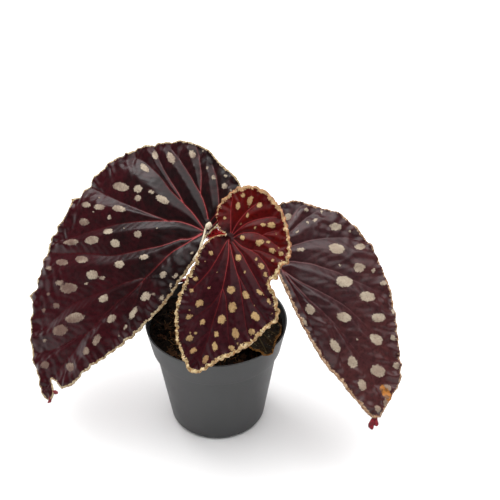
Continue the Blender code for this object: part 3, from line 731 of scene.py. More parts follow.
def rounded(profile, radius, steps=5):
    """The profile with each inner corner rounded."""
    points = [np.array(p, float) for p in profile]
    result = [points[0]]
    for before, corner, after in zip(points, points[1:], points[2:]):
        to_before, to_after = before - corner, after - corner
        near, far = np.linalg.norm(to_before), np.linalg.norm(to_after)
        cut = min(radius, near * 0.45, far * 0.45)
        start, end = corner + to_before / near * cut, corner + to_after / far * cut
        for t in np.linspace(0, 1, steps):
            result.append(start * (1 - t) ** 2 + corner * 2 * t * (1 - t) + end * t ** 2)
    return result + [points[-1]]


def wall_radius(pot, height):
    """Outer radius of the pot's wall at a height."""
    band_foot = pot.height - BAND_HEIGHT
    if height > band_foot:
        share = (height - band_foot) / BAND_HEIGHT
        return BAND_FOOT_RADIUS + (pot.rim_radius - BAND_FOOT_RADIUS) * share
    share = (height - BASE_CHAMFER) / (band_foot - BASE_CHAMFER)
    return BASE_RADIUS + (BODY_TOP_RADIUS - BASE_RADIUS) * share


def pot_mesh(pot):
    """The pot's outer and inner sides, turned in one piece, with its drain slots cut."""
    band_foot = pot.height - BAND_HEIGHT
    wall, soft = pot.wall, pot.edge_round
    outside = [(0, 0), (BASE_FLAT_RADIUS, 0), (BASE_RADIUS, BASE_CHAMFER),
               (BODY_TOP_RADIUS, band_foot - 2 * soft), (BAND_FOOT_RADIUS, band_foot - soft * 0.6),
               (pot.rim_radius, pot.height)]
    inside = [(pot.rim_radius - wall, pot.height), (BAND_FOOT_RADIUS - wall, band_foot),
              (BODY_TOP_RADIUS - wall, band_foot - 2 * soft),
              (BASE_RADIUS - wall, BASE_CHAMFER + wall), (BASE_FLAT_RADIUS - wall, wall),
              (0, wall)]
    profile = rounded(outside + inside, soft * 0.9)
    profile[0], profile[-1] = np.array((0, 0)), np.array((0, wall))
    mesh = turned_mesh("pot_wall", profile[::-1], pot.steps)
    item = bpy.data.objects.new("pot_blank", mesh)
    bpy.context.scene.collection.objects.link(item)
    cutters = []
    for i in range(pot.slots):
        bearing = math.radians(SLOT_FIRST_BEARING + 360 / pot.slots * i)
        bpy.ops.mesh.primitive_cube_add(size=1)
        cutter = bpy.context.object
        cutter.scale = (SLOT_DEPTH, pot.slot_width, 2 * pot.slot_height)
        cutter.rotation_euler.z = bearing
        cutter.location = (BASE_RADIUS * math.cos(bearing), BASE_RADIUS * math.sin(bearing), 0)
        cut = item.modifiers.new("slot", "BOOLEAN")
        cut.operation = "DIFFERENCE"
        cut.object = cutter
        cutters.append(cutter)
    done = item.evaluated_get(bpy.context.evaluated_depsgraph_get())
    result = bpy.data.meshes.new_from_object(done)
    for cutter in cutters + [item]:
        bpy.data.objects.remove(cutter)
    return result


def plastic_finish(pot):
    """Matt moulded plastic: faint marbling, dust and a fine pebble grain."""
    paint = Paint("pot_plastic")
    cloud = paint.noise(30 * MM, 4)
    specks = paint.noise(0.9 * MM, 2)
    colour = paint.coats(scaled(pot.colour, 0.86),
                         (paint.ramp(cloud, 0.35, 0.65), scaled(pot.colour, 1.22)),
                         (paint.ramp(specks, 0.66, 0.8, 0, 0.35), (0.16, 0.16, 0.155)))
    height = paint.add(paint.times(paint.noise(0.45 * MM, 2), 0.5), cloud)
    rough = paint.ramp(cloud, 0.3, 0.7, 0.44, 0.56)
    return paint.finish(colour, rough, paint.bump(height, 0.06 * MM))


# The soil

def soil_height(x, y):
    """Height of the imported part's broad bumps at a place."""
    spot = Vector((x, y, 0)) / SOIL_BUMP_SIZE
    return SOIL_TOP + SOIL_BUMP * (noise.noise(spot) + 0.5 * noise.noise(spot * 2.3))


def clod_height(x, y, grain):
    """Height of the soil with its clods."""
    spot = Vector((x, y, 0.01))
    fine = noise.fractal(spot / (4 * MM), 0.9, 2.1, 4) + 0.8 * abs(noise.noise(spot / (2.2 * MM)))
    return soil_height(x, y) + grain * fine


def soil_mesh(pot, soil):
    """A closed body of peat, with clods on top."""
    rings, steps = 64, 210
    inset = pot.wall + GAP
    band_foot, bottom = pot.height - BAND_HEIGHT, inset + SOIL_FOOT
    top_radius = wall_radius(pot, SOIL_TOP) - pot.wall - GAP
    neck = BODY_TOP_RADIUS - pot.wall - GAP - pot.edge_round / 2
    turn = np.arange(steps) * 2 * math.pi / steps
    places = [(0, 0, clod_height(0, 0, soil.grain))]
    for ring in range(1, rings + 1):
        radius = top_radius * ring / rings
        for angle in turn:
            x, y = radius * math.cos(angle), radius * math.sin(angle)
            places.append((x, y, clod_height(x, y, soil.grain)))
    for radius, height in ((neck + 1.2 * MM, band_foot + 3 * pot.edge_round),
                           (neck, band_foot - 2 * pot.edge_round),
                           (BASE_RADIUS - pot.wall - GAP - pot.edge_round, bottom)):
        places += [(radius * math.cos(a), radius * math.sin(a), height) for a in turn]
    places.append((0, 0, bottom))
    faces = fan(0, 1, steps)
    for ring in range(rings + 2):
        faces += band(1 + ring * steps, 1 + (ring + 1) * steps, steps)
    faces += fan(len(places) - 1, 1 + (rings + 2) * steps, steps, flipped=True)
    shell = Shell()
    shell.add(places, faces)
    return shell.mesh("soil_bed")


def soil_place(rng, pot, margin):
    """A random place on the soil, clear of the rhizome and of the wall by the margin."""
    limit = wall_radius(pot, SOIL_TOP) - pot.wall - margin
    while True:
        x, y = rng.uniform(-limit, limit, 2)
        off = math.hypot(x - RHIZOME_CENTRE[0], y - RHIZOME_CENTRE[1])
        if math.hypot(x, y) < limit and off > RHIZOME_RADIUS + margin:
            return x, y


BLOCK_FACES = [(0, 1, 3, 2), (4, 6, 7, 5), (0, 4, 5, 1), (2, 3, 7, 6), (0, 2, 6, 4), (1, 5, 7, 3)]
BLOCK_CORNERS = np.array([(x, y, z) for x in (-1, 1) for y in (-1, 1) for z in (-1, 1)], float)


def lump_mesh(name, rng, pot, soil, count, low, high, flat):
    """Angular lumps half sunk in the soil. low and high bound their half lengths."""
    shell = Shell()
    for _ in range(count):
        half = rng.uniform(low, high)
        x, y = soil_place(rng, pot, half * 1.2 + 0.5 * MM)
        size = np.array((half, half * rng.uniform(0.35, 0.8), half * rng.uniform(*flat)))
        corners = BLOCK_CORNERS * size * rng.uniform(0.65, 1.15, (8, 3))
        turn = np.array(Matrix.Rotation(rng.uniform(0, FULL_TURN), 3, "Z")
                        @ Matrix.Rotation(rng.normal(0, 0.35), 3, "X")
                        @ Matrix.Rotation(rng.normal(0, 0.35), 3, "Y"))
        place = np.array((x, y, clod_height(x, y, soil.grain) + size[2] * 0.3))
        shell.add(corners @ turn.T + place, BLOCK_FACES)
    return shell.mesh(name)


def fibre_mesh(rng, pot, soil):
    """Thin bent fibres that lie on the soil."""
    shell = Shell()
    for _ in range(soil.fibres):
        span = rng.uniform(3, 11) * MM
        x, y = soil_place(rng, pot, span * 0.75 + 1 * MM)
        heading, bow = rng.uniform(0, FULL_TURN), rng.normal(0, 0.5)
        points = []
        for t in np.linspace(-0.5, 0.5, 7):
            turn = heading + bow * t
            px, py = x + span * t * math.cos(turn), y + span * t * math.sin(turn)
            lift = rng.uniform(0.0, 0.5) * MM
            points.append((px, py, clod_height(px, py, soil.grain) + 0.15 * MM + lift))
        thick = rng.uniform(0.12, 0.32) * MM
        line = smooth_line(points, span / 10)
        shell.add(*tube(line, [thick] * len(line), 5))
    return shell.mesh("soil_fibres")


def earth_finish(name, colour, pale, size, rough=0.95):
    """Crumbly earth or bark: two colours in patches, with a coarse grain."""
    paint = Paint(name)
    colour = paint.blend(paint.ramp(paint.noise(size, 5, 0.7), 0.42, 0.68), colour, pale)
    return paint.finish(colour, rough, paint.bump(paint.noise(size * 0.2, 3), 0.35 * MM), 0.06)


# Leaves

def polar_points(pairs):
    """(bearing, reach in mm) pairs as points (u, w) in metres."""
    return [(reach * MM * math.cos(math.radians(bearing)),
             reach * MM * math.sin(math.radians(bearing))) for bearing, reach in pairs]


def vein_line(start, end, reach):
    """Points a millimetre apart on a vein that bends evenly from one bearing to the other."""
    reach *= MM
    shares = np.linspace(VEIN_START / reach, 1, max(2, round(reach / MM)))
    bearings = np.radians(start + (end - start) * shares)
    return np.stack([shares * reach * np.cos(bearings), shares * reach * np.sin(bearings)], 1)


def plant_tree(targets):
    """A search tree over flat points."""
    tree = kdtree.KDTree(len(targets))
    for i, target in enumerate(targets):
        tree.insert((*target, 0), i)
    tree.balance()
    return tree


def nearest(points, tree):
    """For each point, the index of its nearest target and the distance to it."""
    found = [tree.find((*point, 0)) for point in points]
    return np.array([item[1] for item in found]), np.array([item[2] for item in found])


class Sheet:
    """Heights, distances and spots of one blade, over its flat frame."""

    def __init__(self, blade):
        self.blade = blade
        self.rim_line = smooth_line(polar_points(blade.outline), RIM_STEP * MM, closed=True)
        self.rim = plant_tree(self.rim_line)
        self.lines = [vein_line(*vein) for vein in blade.veins]
        self.strengths = [UNREAD_STRENGTH] * len(self.lines)
        for strength, marks in blade.marks:
            self.lines.append(smooth_line(self.seen_at(marks, self.bare_height), MM))
            self.strengths.append(strength)
        drawn = [smooth_line(line, VEIN_STEP) for line in self.lines]
        self.vein_points = np.vstack(drawn)
        self.vein_of = np.concatenate([[i] * len(line) for i, line in enumerate(drawn)])
        self.veins = plant_tree(self.vein_points)
        self.side_lines = self.side_veins()
        self.sides = plant_tree(np.vstack(self.side_lines))
        self.spots = self.spot_shapes()

    def side_veins(self):
        """Fine branches that leave each vein on both sides and stop half way to the next."""
        blade, lines = self.blade, []
        for number, line in enumerate(self.lines):
            line = line[::round(blade.side_vein_step)]
            if len(line) < 3:
                continue
            ahead = np.gradient(line, axis=0)
            for start, tangent in zip(line, ahead):
                for side in (-1, 1):
                    aim = math.atan2(tangent[1], tangent[0]) + side * SIDE_VEIN_ANGLE
                    place, points = start.copy(), [start.copy()]
                    for step in range(SIDE_VEIN_STEPS):
                        aim -= side * SIDE_VEIN_TURN
                        place = place + MM * np.array((math.cos(aim), math.sin(aim)))
                        owner = self.veins.find((*place, 0))[1]
                        if step > 2 and self.vein_of[owner] != number:
                            break
                        points.append(place.copy())
                    if len(points) > 4:
                        lines.append(np.array(points))
        return lines

    def bare_height(self, points):
        """The height of the veins: the blade's arch and fold, and its ruffled margin."""
        blade = self.blade
        u, w = points[:, 0], points[:, 1]
        reach = np.hypot(u, w)
        narrow = np.maximum(blade.fold_side * w, 0)
        height = blade.crown * reach * np.exp(-reach / (blade.crown_reach * MM))
        height -= blade.bend * np.maximum(u, 0) ** 2 + blade.cup * w ** 2
        height -= blade.back_drop * np.maximum(-u, 0) ** 2
        height -= blade.fold * (np.hypot(narrow, FOLD_SOFTNESS) - FOLD_SOFTNESS)
        station, to_rim = nearest(points, self.rim)
        wave = np.sin(2 * math.pi * station * RIM_STEP / blade.ruffle_length)
        away = np.clip(reach / (4 * PLEAT_REACH), 0, 1)
        return height + blade.ruffle * MM * wave * away * np.exp(-to_rim / RUFFLE_REACH)

    def pleat_height(self, points):
        """Pleats: highest at the crest between the two veins on either side of a point."""
        blade = self.blade
        from_low = np.full(len(points), np.inf)
        from_high = from_low.copy()
        for line in self.lines:
            tangent = np.gradient(line, axis=0)
            away = ((points[:, None] - line[None]) ** 2).sum(2)
            index = away.argmin(1)
            off, ahead = points - line[index], tangent[index]
            left = ahead[:, 0] * off[:, 1] - ahead[:, 1] * off[:, 0] > 0
            distance = np.sqrt(away.min(1))
            from_low = np.where(left, np.minimum(from_low, distance), from_low)
            from_high = np.where(left, from_high, np.minimum(from_high, distance))
        _, to_rim = nearest(points, self.rim)
        edge = to_rim + 4 * MM
        from_low, from_high = np.minimum(from_low, edge * 3), np.minimum(from_high, edge * 3)
        gap = from_low + from_high + 1e-6
        share = from_low / gap
        rise, fall = share / blade.crest, (1 - share) / (1 - blade.crest)
        bow = -np.log(np.exp(-CREST_SHARPNESS * rise) + np.exp(-CREST_SHARPNESS * fall))
        return blade.pleat * MM * bow / CREST_SHARPNESS * (1 - np.exp(-gap / PLEAT_SPAN))

    def base_height(self, points):
        return self.bare_height(points) + self.pleat_height(points)

    def seen_at(self, pixels, height_of):
        """Points (u, w) of the blade that the camera shows at those pixels."""
        sine, cosine = math.sin(CAMERA_PITCH), math.cos(CAMERA_PITCH)
        ahead, upward = np.array((0, cosine, -sine)), np.array((0, sine, cosine))
        off = (np.asarray(pixels, float) - PICTURE_SIDE / 2) / FOCAL_PIXELS
        rays = ahead + off[:, :1] * np.array((1, 0, 0)) - off[:, 1:] * upward
        turn = np.array(self.blade.frame)
        eye = (CAMERA_PLACE - np.array(self.blade.foot) * MM) @ turn
        rays = rays @ turn
        height = np.zeros(len(rays))
        for _ in range(9):
            local = eye + rays * ((height - eye[2]) / rays[:, 2])[:, None]
            height = 0.3 * height + 0.7 * height_of(local[:, :2])
        return local[:, :2]

    def spot_shapes(self):
        """(centre, half axes) of each spot in the blade's frame."""
        if not self.blade.spots:
            return []
        spots = np.array(self.blade.spots, float)
        centre, half = spots[:, :2], spots[:, 2:4] / 2
        turn = np.radians(spots[:, 4])
        along = np.stack([np.cos(turn), np.sin(turn)], 1)
        across = np.stack([-along[:, 1], along[:, 0]], 1)
        middle = self.seen_at(centre, self.base_height)
        long_end = self.seen_at(centre + along * half[:, :1], self.base_height) - middle
        short_end = self.seen_at(centre + across * half[:, 1:], self.base_height) - middle
        shapes = [(m, np.stack([a, b], 1)) for m, a, b in zip(middle, long_end, short_end)]
        rng = np.random.default_rng(3)
        low, high = self.blade.hidden_bearings
        for _ in range(HIDDEN_TRIES if self.blade.hidden_spots else 0):
            if len(shapes) == len(spots) + self.blade.hidden_spots:
                break
            bearing = math.radians(rng.uniform(low, high))
            reach = rng.uniform(*HIDDEN_REACHES) * MM
            place = reach * np.array((math.cos(bearing), math.sin(bearing)))
            clear = min(np.hypot(*(place - m)) for m, _ in shapes) > HIDDEN_GAP
            clear = clear and nearest(place[None], self.rim)[1][0] > 3 * MM
            if clear and self.inside(place[None])[0]:
                shapes.append((place, np.diag(rng.uniform(1.6, 3.6, 2) * MM)))
        return shapes

    def spot_distance(self, points):
        """Signed distance from each point to the edge of the nearest spot."""
        best = np.full(len(points), SPOT_REACH)
        for middle, axes in self.spots:
            size = math.sqrt(abs(np.linalg.det(axes))) + 1e-9
            local = (points - middle) @ np.linalg.inv(axes).T
            best = np.minimum(best, (np.linalg.norm(local, axis=1) - 1) * size)
        return best

    def toothed_margin(self, step):
        """The margin with its teeth, pulled out to the corners that were read."""
        blade = self.blade
        margin = smooth_line(polar_points(blade.outline), step * 0.8, closed=True)
        ahead = np.roll(margin, -1, 0) - np.roll(margin, 1, 0)
        outward = np.stack([ahead[:, 1], -ahead[:, 0]], 1)
        outward /= np.linalg.norm(outward, axis=1)[:, None]
        if np.sum((margin - margin.mean(0)) * outward) < 0:
            outward = -outward
        run = np.arange(len(margin)) * step * 0.8 / (blade.tooth_length * MM)
        shake = np.array([noise.noise(Vector((s * 0.7, 3.1, blade.heading))) for s in run])
        teeth = blade.tooth * MM * (np.abs(np.sin(math.pi * run + 3 * shake)) - 0.5 + shake)
        far = np.clip(np.hypot(*margin.T) / TOOTH_REACH, 0.15, 1)
        margin = margin + outward * (teeth * far)[:, None]
        for corner in self.seen_at(blade.corners, self.bare_height) if blade.corners else ():
            pull = corner - margin[np.hypot(*(margin - corner).T).argmin()]
            apart = np.hypot(*(margin - corner + pull).T)
            margin = margin + pull * np.clip(1 - apart / CORNER_REACH, 0, 1)[:, None] ** 1.4
        return margin

    def marked_points(self, lines, step):
        """Points beside the veins and round the spots, clear of the margin and the veins."""
        marked = []
        for line in lines:
            tangent = np.gradient(line, axis=0)
            tangent /= np.linalg.norm(tangent, axis=1)[:, None]
            normal = np.stack([-tangent[:, 1], tangent[:, 0]], 1)
            marked += [line + normal * step * 0.75, line - normal * step * 0.75]
        for centre, axes in self.spots:
            size = math.sqrt(abs(np.linalg.det(axes)))
            count = max(6, round(2 * math.pi * size / step))
            turn = np.arange(count) * 2 * math.pi / count
            circle = np.stack([np.cos(turn), np.sin(turn)], 1)
            marked += [centre[None], centre + circle @ axes.T]
        loose = np.vstack(marked)
        loose = loose[nearest(loose, self.rim)[1] > step]
        loose = loose[self.inside(loose)]
        return loose[nearest(loose, plant_tree(np.vstack(lines)))[1] > 0.5 * step]

    def net(self):
        """Points and triangles that follow the toothed margin, the veins and the spots."""
        step = self.blade.net_step * MM
        margin = self.toothed_margin(step)
        self.edge = plant_tree(np.vstack([margin, (margin + np.roll(margin, -1, 0)) / 2]))
        lines = [smooth_line(line, step) for line in self.lines]
        fixed = np.vstack([margin, *lines, [(0, 0)], self.marked_points(lines, step)])
        low, high = margin.min(0), margin.max(0)
        grid = []
        for row, w in enumerate(np.arange(low[1], high[1], step * math.sqrt(0.75))):
            grid += [(u + row % 2 * step / 2, w) for u in np.arange(low[0], high[0], step)]
        grid = np.array(grid)
        grid = grid[self.inside(grid)]
        grid = grid[nearest(grid, plant_tree(fixed))[1] > 0.6 * step]
        first = len(margin)
        edges = [(i, (i + 1) % first) for i in range(first)]
        for line in lines:
            edges += [(first + i, first + i + 1) for i in range(len(line) - 1)]
            first += len(line)
        points = [Vector(point) for point in np.vstack([fixed, grid])]
        made = delaunay_2d_cdt(points, edges, [list(range(len(margin)))], 1, 1e-7)
        return np.array([tuple(point) for point in made[0]]), made[2]

    def inside(self, points):
        """Whether each point lies inside the smooth margin."""
        rim = self.rim_line[::2]
        x, y = points[:, 0], points[:, 1]
        crossings = np.zeros(len(points), int)
        for (ax, ay), (bx, by) in zip(rim, np.roll(rim, -1, 0)):
            spans = (ay > y) != (by > y)
            if by != ay:
                crossings += spans & (x < (bx - ax) * (y - ay) / (by - ay) + ax)
        return crossings % 2 == 1


@cache
def sheet_of(blade):
    """The blade's sheet, made once."""
    return Sheet(blade)


def fade(distance, reach):
    """1 at no distance, and falling from there."""
    return np.exp(-distance / reach)


def bell(distance, width):
    """The same with a rounded top."""
    return np.exp(-(distance / width) ** 2)


def leaf_mesh(blade):
    """The blade's upper and under sides and its margin, with the fields that its paint reads."""
    sheet = sheet_of(blade)
    points, triangles = sheet.net()
    used = sorted({i for face in triangles for i in face})
    order = {old: new for new, old in enumerate(used)}
    points = points[used]
    triangles = [tuple(order[i] for i in face) for face in triangles]
    count = len(points)
    reach = np.hypot(*points.T)
    index, to_vein = nearest(points, sheet.veins)
    strength = np.array(sheet.strengths)[sheet.vein_of[index]]
    share = np.clip(reach / VEIN_FADE_REACH, 0, 1)
    station, _ = nearest(points, sheet.rim)
    _, to_rim = nearest(points, sheet.edge)
    _, to_side = nearest(points, sheet.sides)
    spot = sheet.spot_distance(points)
    half_width = (0.30 * (1 - share) ** 1.3 + 0.05) * MM * (0.4 + 0.6 * strength)
    open_lamina = 1 - fade(to_vein, 4 * MM)
    away = np.clip(reach / CALM_REACH, 0, 1)
    fine = np.array([noise.fractal(Vector((u, w, blade.dip * MM)) / (16 * MM), 0.9, 2.1, 2)
                     for u, w in points])
    patchy = np.array([noise.noise(Vector((w, u, blade.roll * MM)) / (22 * MM)) for u, w in points])

    # Puckers, wrinkles and broad waves
    quilt = blade.quilt * MM * (1 - fade(to_side, 2.2 * MM)) * open_lamina * away
    if blade.wrinkle_bearing is None:
        phase = reach
    else:
        slant = math.radians(blade.wrinkle_bearing)
        phase = points[:, 1] * math.cos(slant) - points[:, 0] * math.sin(slant)
    ripple = np.sin(2 * math.pi * phase / (blade.wrinkle_length * MM) + 2.5 * fine)
    ripple *= np.clip(0.55 + 1.2 * patchy, 0, 1)
    away *= 1 - 0.75 * (1 - fade(np.maximum(blade.calm_side * points[:, 1], 0), 7 * MM))
    wrinkle = blade.wrinkle * MM * ripple * open_lamina * fade(to_rim, 18 * MM) * away
    swing = np.sin(2 * math.pi * station * RIM_STEP / SCALLOP_LENGTH + 3.5 * fine)
    wrinkle += blade.scallop * MM * swing * fade(to_rim, 13 * MM) * away
    height = sheet.base_height(points) + quilt + wrinkle + UNEVENNESS * MM * fine * away

    # The swollen margin, raised spots, and veins sunk above and raised below
    bead = np.abs(np.sin(math.pi * station * RIM_STEP / BEAD_LENGTH + 2 * fine))
    hem = blade.hem * MM * bell(to_rim, blade.hem_width * MM) * (0.5 + bead)
    hem *= np.clip((reach - 8 * MM) / (24 * MM), 0.15, 1)
    blister = BLISTER * MM * (spot < 0) * away
    groove = GROOVE * MM * bell(to_vein, 0.9 * MM) * (1 - share)
    rib = (1.15 * (1 - share) ** 1.2 + 0.2) * MM * bell(to_vein, half_width + 0.7 * MM)
    rib += SIDE_RIB * MM * bell(to_side, 0.6 * MM)
    top = height + BLADE_THICKNESS / 2 + hem + blister - groove
    low = height - BLADE_THICKNESS / 2 - rib * (1 - fade(to_rim, 3 * MM)) - 0.6 * hem
    local = np.vstack([np.column_stack([points, top]), np.column_stack([points, low])])
    edges = {edge for a, b, c in triangles for edge in ((a, b), (b, c), (c, a))}
    open_edges = sorted(edge for edge in edges if edge[::-1] not in edges)
    faces = (triangles + [(c + count, b + count, a + count) for a, b, c in triangles]
             + [(b, a, a + count, b + count) for a, b in open_edges])
    kinds = [0] * len(triangles) + [1] * len(triangles) + [0] * len(open_edges)
    shell = Shell()
    shell.add(blade.places(local), faces, kinds)
    mesh = shell.mesh(blade.name)
    for name, values in (("vein", to_vein - half_width), ("rim", to_rim), ("spot", spot),
                         ("side", to_side), ("strength", strength * MM), ("reach", reach),
                         ("ahead", points[:, 0]), ("across", points[:, 1])):
        kept = mesh.attributes.new(name, "FLOAT", "POINT")
        kept.data.foreach_set("value", np.tile(values / MM, 2).astype(np.float32))
    return mesh


def leaf_finish(name, leaf, near, far, spots, margin, band, sheen, painted_backlight=None, veins=1.0,
                scorched=None, foot_band=1.0, half_band=1.0, rosy=None):
    """Upper side: near colour to far colour, veins, creases, spots and margin, with painted highlights
    on the margin and painted backlight when given.
    """
    paint = Paint(name)
    vein, rim, spot = paint.read("vein"), paint.read("rim"), paint.read("spot")
    reach, side, strength = paint.read("reach"), paint.read("side"), paint.read("strength")
    ahead, across = paint.read("ahead"), paint.read("across")
    cloud = paint.noise(14 * MM, 4)
    patchy = paint.noise(3.2 * MM, 4, 0.6)
    ragged = paint.noise(1.3 * MM, 3)
    fine = paint.noise(0.5 * MM, 2)
    tone = paint.add(paint.ramp(reach, 25, 140), paint.ramp(cloud, 0.3, 0.7, -0.35, 0.35))
    colour = paint.blend(paint.times(tone, 1.0, clamp=True), near, far)
    # Painted backlight: the young leaf is bright red where light would shine through it, round and
    # behind its foot, and darker right round the foot
    if painted_backlight is not None:
        lit = paint.ramp(paint.add(ahead, paint.times(across, -0.5)), -18, 30, 1, 0)
        lit = paint.times(lit, paint.ramp(cloud, 0.25, 0.75, 0.6, 1.15), clamp=True)
        colour = paint.coats(colour, (lit, painted_backlight), (paint.ramp(reach, 3, 13, 0.8, 0), scaled(near, 0.25)))
    mottle = paint.ramp(patchy, 0.35, 0.65, 0.62, 1.25)
    colour = paint.blend(1.0, colour, paint.blend(mottle, (0, 0, 0), (1, 1, 1)), "MULTIPLY")
    bright = paint.times(paint.ramp(reach, 12, 95, veins, veins * 0.16), strength)
    colour = paint.coats(
        colour,
        (paint.times(paint.ramp(vein, 0.0, 2.0, 0.35, 0.0), bright), scaled(leaf.vein, 0.30)),
        (paint.times(paint.ramp(side, 0.05, 0.6, 0.22, 0.0), veins), scaled(leaf.vein, 0.22)),
        (paint.times(paint.ramp(vein, -0.2, 0.3, 1, 0), bright), leaf.vein))

    rough_edge = paint.add(paint.ramp(ragged, 0.3, 0.7, -0.45, 0.45),
                           paint.ramp(patchy, 0.3, 0.7, -0.5, 0.5))
    edge = paint.add(spot, rough_edge)
    in_spot = paint.ramp(edge, -0.25, 0.2, 1, 0)
    stained = paint.add(paint.ramp(cloud, 0.35, 0.65, -0.3, 0.45), paint.ramp(reach, 70, 165, 0, 0.95))
    cream = paint.coats(
        spots[0], (paint.times(stained, 1.0, clamp=True), spots[1]),
        (paint.ramp(ragged, 0.45, 0.72, 0.0, 0.55), scaled(spots[1], 0.6)),
        (paint.ramp(fine, 0.35, 0.7, 0.0, 0.35), scaled(spots[1], 0.5)),
        (paint.ramp(edge, -1.1, 0.1, 0.0, 0.5), scaled(spots[1], 0.5)))

    wide = paint.ramp(paint.noise(7 * MM, 3), 0.3, 0.7, -0.35, 0.45)
    worn = paint.add(rim, paint.times(paint.add(rough_edge, wide), band * 0.6))
    worn = paint.math("DIVIDE", worn, paint.ramp(reach, 12, 36, foot_band, 1.0))
    worn = paint.math("DIVIDE", worn, paint.ramp(across, -8, 12, 1.0, half_band))
    on_rim = paint.ramp(worn, band - 0.2, band + 0.2, 1, 0)
    hem = paint.blend(paint.ramp(paint.noise(2.6 * MM, 3), 0.38, 0.60), margin,
                      scaled(margin, (0.55, 0.42, 0.32)))
    if rosy is not None:
        outer = paint.times(paint.ramp(rim, 0.15, 0.7, 0.7, 0), paint.ramp(ahead, 0, 60, 1, 0.3))
        hem = paint.coats(hem, (paint.ramp(ahead, -25, 30, 0.65, 0), rosy),
                          (paint.ramp(reach, 14, 40, 0.8, 0), scaled(rosy, 0.45)),
                          (outer, (0.30, 0.075, 0.030)))
    # Paler cream flecks on the margin: painted highlights on its beads
    hem = paint.blend(paint.ramp(paint.noise(1.9 * MM, 2), 0.56, 0.72, 0, 0.8), hem,
                      scaled(margin, (1.3, 1.45, 1.8)))
    colour = paint.coats(colour, (in_spot, cream), (on_rim, hem))
    if scorched is not None:
        along, aside = (paint.math("SUBTRACT", place, float(centre))
                        for place, centre in zip((ahead, across), scorched))
        squared = paint.add(paint.times(along, along),
                            paint.times(paint.times(aside, aside), SCORCH_SLIMNESS))
        off = paint.add(paint.math("POWER", squared, 0.5), paint.times(rough_edge, 1.6))
        burnt = paint.blend(paint.ramp(patchy, 0.4, 0.6), leaf.scorch, scaled(leaf.scorch, 0.35))
        colour = paint.blend(paint.ramp(off, SCORCH_REACH - 1, SCORCH_REACH + 0.6, 1, 0), colour,
                             burnt)
    rough = paint.ramp(paint.math("MAXIMUM", in_spot, on_rim), 0, 1, 0.28, 0.62)
    grain = paint.add(paint.times(paint.cells(0.55 * MM), 0.14), paint.times(fine, 0.12),
                      paint.times(in_spot, 1.2), paint.times(patchy, 0.9))
    return paint.finish(colour, rough, paint.bump(grain, 0.10 * MM), sheen)


def under_finish(name, colour, margin, band):
    """Underside: matt crimson with paler raised veins and the rim showing."""
    paint = Paint(name)
    vein, side, rim = paint.read("vein"), paint.read("side"), paint.read("rim")
    spot, reach = paint.read("spot"), paint.read("reach")
    line = paint.times(paint.ramp(vein, 0.1, 0.9, 1, 0), paint.ramp(reach, 20, 110, 1, 0.5))
    worn = paint.add(rim, paint.ramp(paint.noise(1.3 * MM, 3), 0.3, 0.7, -0.8, 0.8))
    shown = paint.coats(
        scaled(colour, 0.5), (paint.ramp(paint.noise(12 * MM, 4), 0.35, 0.65), colour),
        (paint.ramp(side, 0.1, 0.9, 0.45, 0.0), (0.33, 0.05, 0.045)), (line, (0.44, 0.10, 0.08)),
        (paint.ramp(spot, -0.6, 0.4, 0.4, 0), (0.38, 0.16, 0.12)),
        (paint.ramp(worn, band - 0.25, band + 0.25, 0.8, 0), margin))
    return paint.finish(shown, 0.62, paint.bump(paint.cells(0.6 * MM), 0.10 * MM), 0.3)


def withered_finish(name, olive, faded):
    """Dead lamina: blackish olive with paler veins, pale streaks painted as glossy highlights, and a
    golden-brown margin.
    """
    paint = Paint(name)
    vein, side, rim = paint.read("vein"), paint.read("side"), paint.read("rim")
    ahead = paint.read("ahead")
    cloud, ragged = paint.noise(6 * MM, 4), paint.noise(1.2 * MM, 3)
    # Pale streaks ahead of the foot: painted glossy highlights
    streak = paint.times(paint.ramp(paint.noise(2.2 * MM, 3), 0.58, 0.68, 0, 0.6),
                         paint.ramp(ahead, 2, 12))
    worn = paint.add(rim, paint.ramp(ragged, 0.3, 0.7, -1.2, 1.2))
    golden = paint.times(paint.ramp(worn, 0.3, 1.7, 0.85, 0), paint.ramp(ahead, -5, 28, 0.15, 1))
    colour = paint.coats(
        (0.005, 0.003, 0.0012),
        (paint.ramp(cloud, 0.4, 0.7), (0.013 * faded, 0.006 * faded, 0.0015)),
        (streak, (0.10, 0.085, 0.045)), (paint.ramp(side, 0.05, 0.5, 0.2, 0), olive),
        (paint.ramp(vein, -0.3, 0.7, 0.5, 0), olive), (golden, (0.17, 0.075, 0.018)))
    return paint.finish(colour, paint.ramp(cloud, 0.3, 0.7, 0.4, 0.65),
                        paint.bump(ragged, 0.25 * MM), 0.05)


# Small torn bits and the curled margin

def curl_mesh(name, sheet, marks, radii, lift):
    """A rounded roll of margin through the pixels marked on a blade."""
    flat = sheet.seen_at(marks, sheet.base_height)
    places = sheet.blade.places(np.column_stack([flat, sheet.base_height(flat) + lift]))
    line = smooth_line(np.column_stack([places, np.array(radii) * MM]), 0.7 * MM)
    wobble = [1 + 0.22 * noise.noise(Vector(point[:3]) / (1.9 * MM)) for point in line]
    shell = Shell()
    shell.add(*tube(line[:, :3], line[:, 3] * wobble, 10))
    return shell.mesh(name)


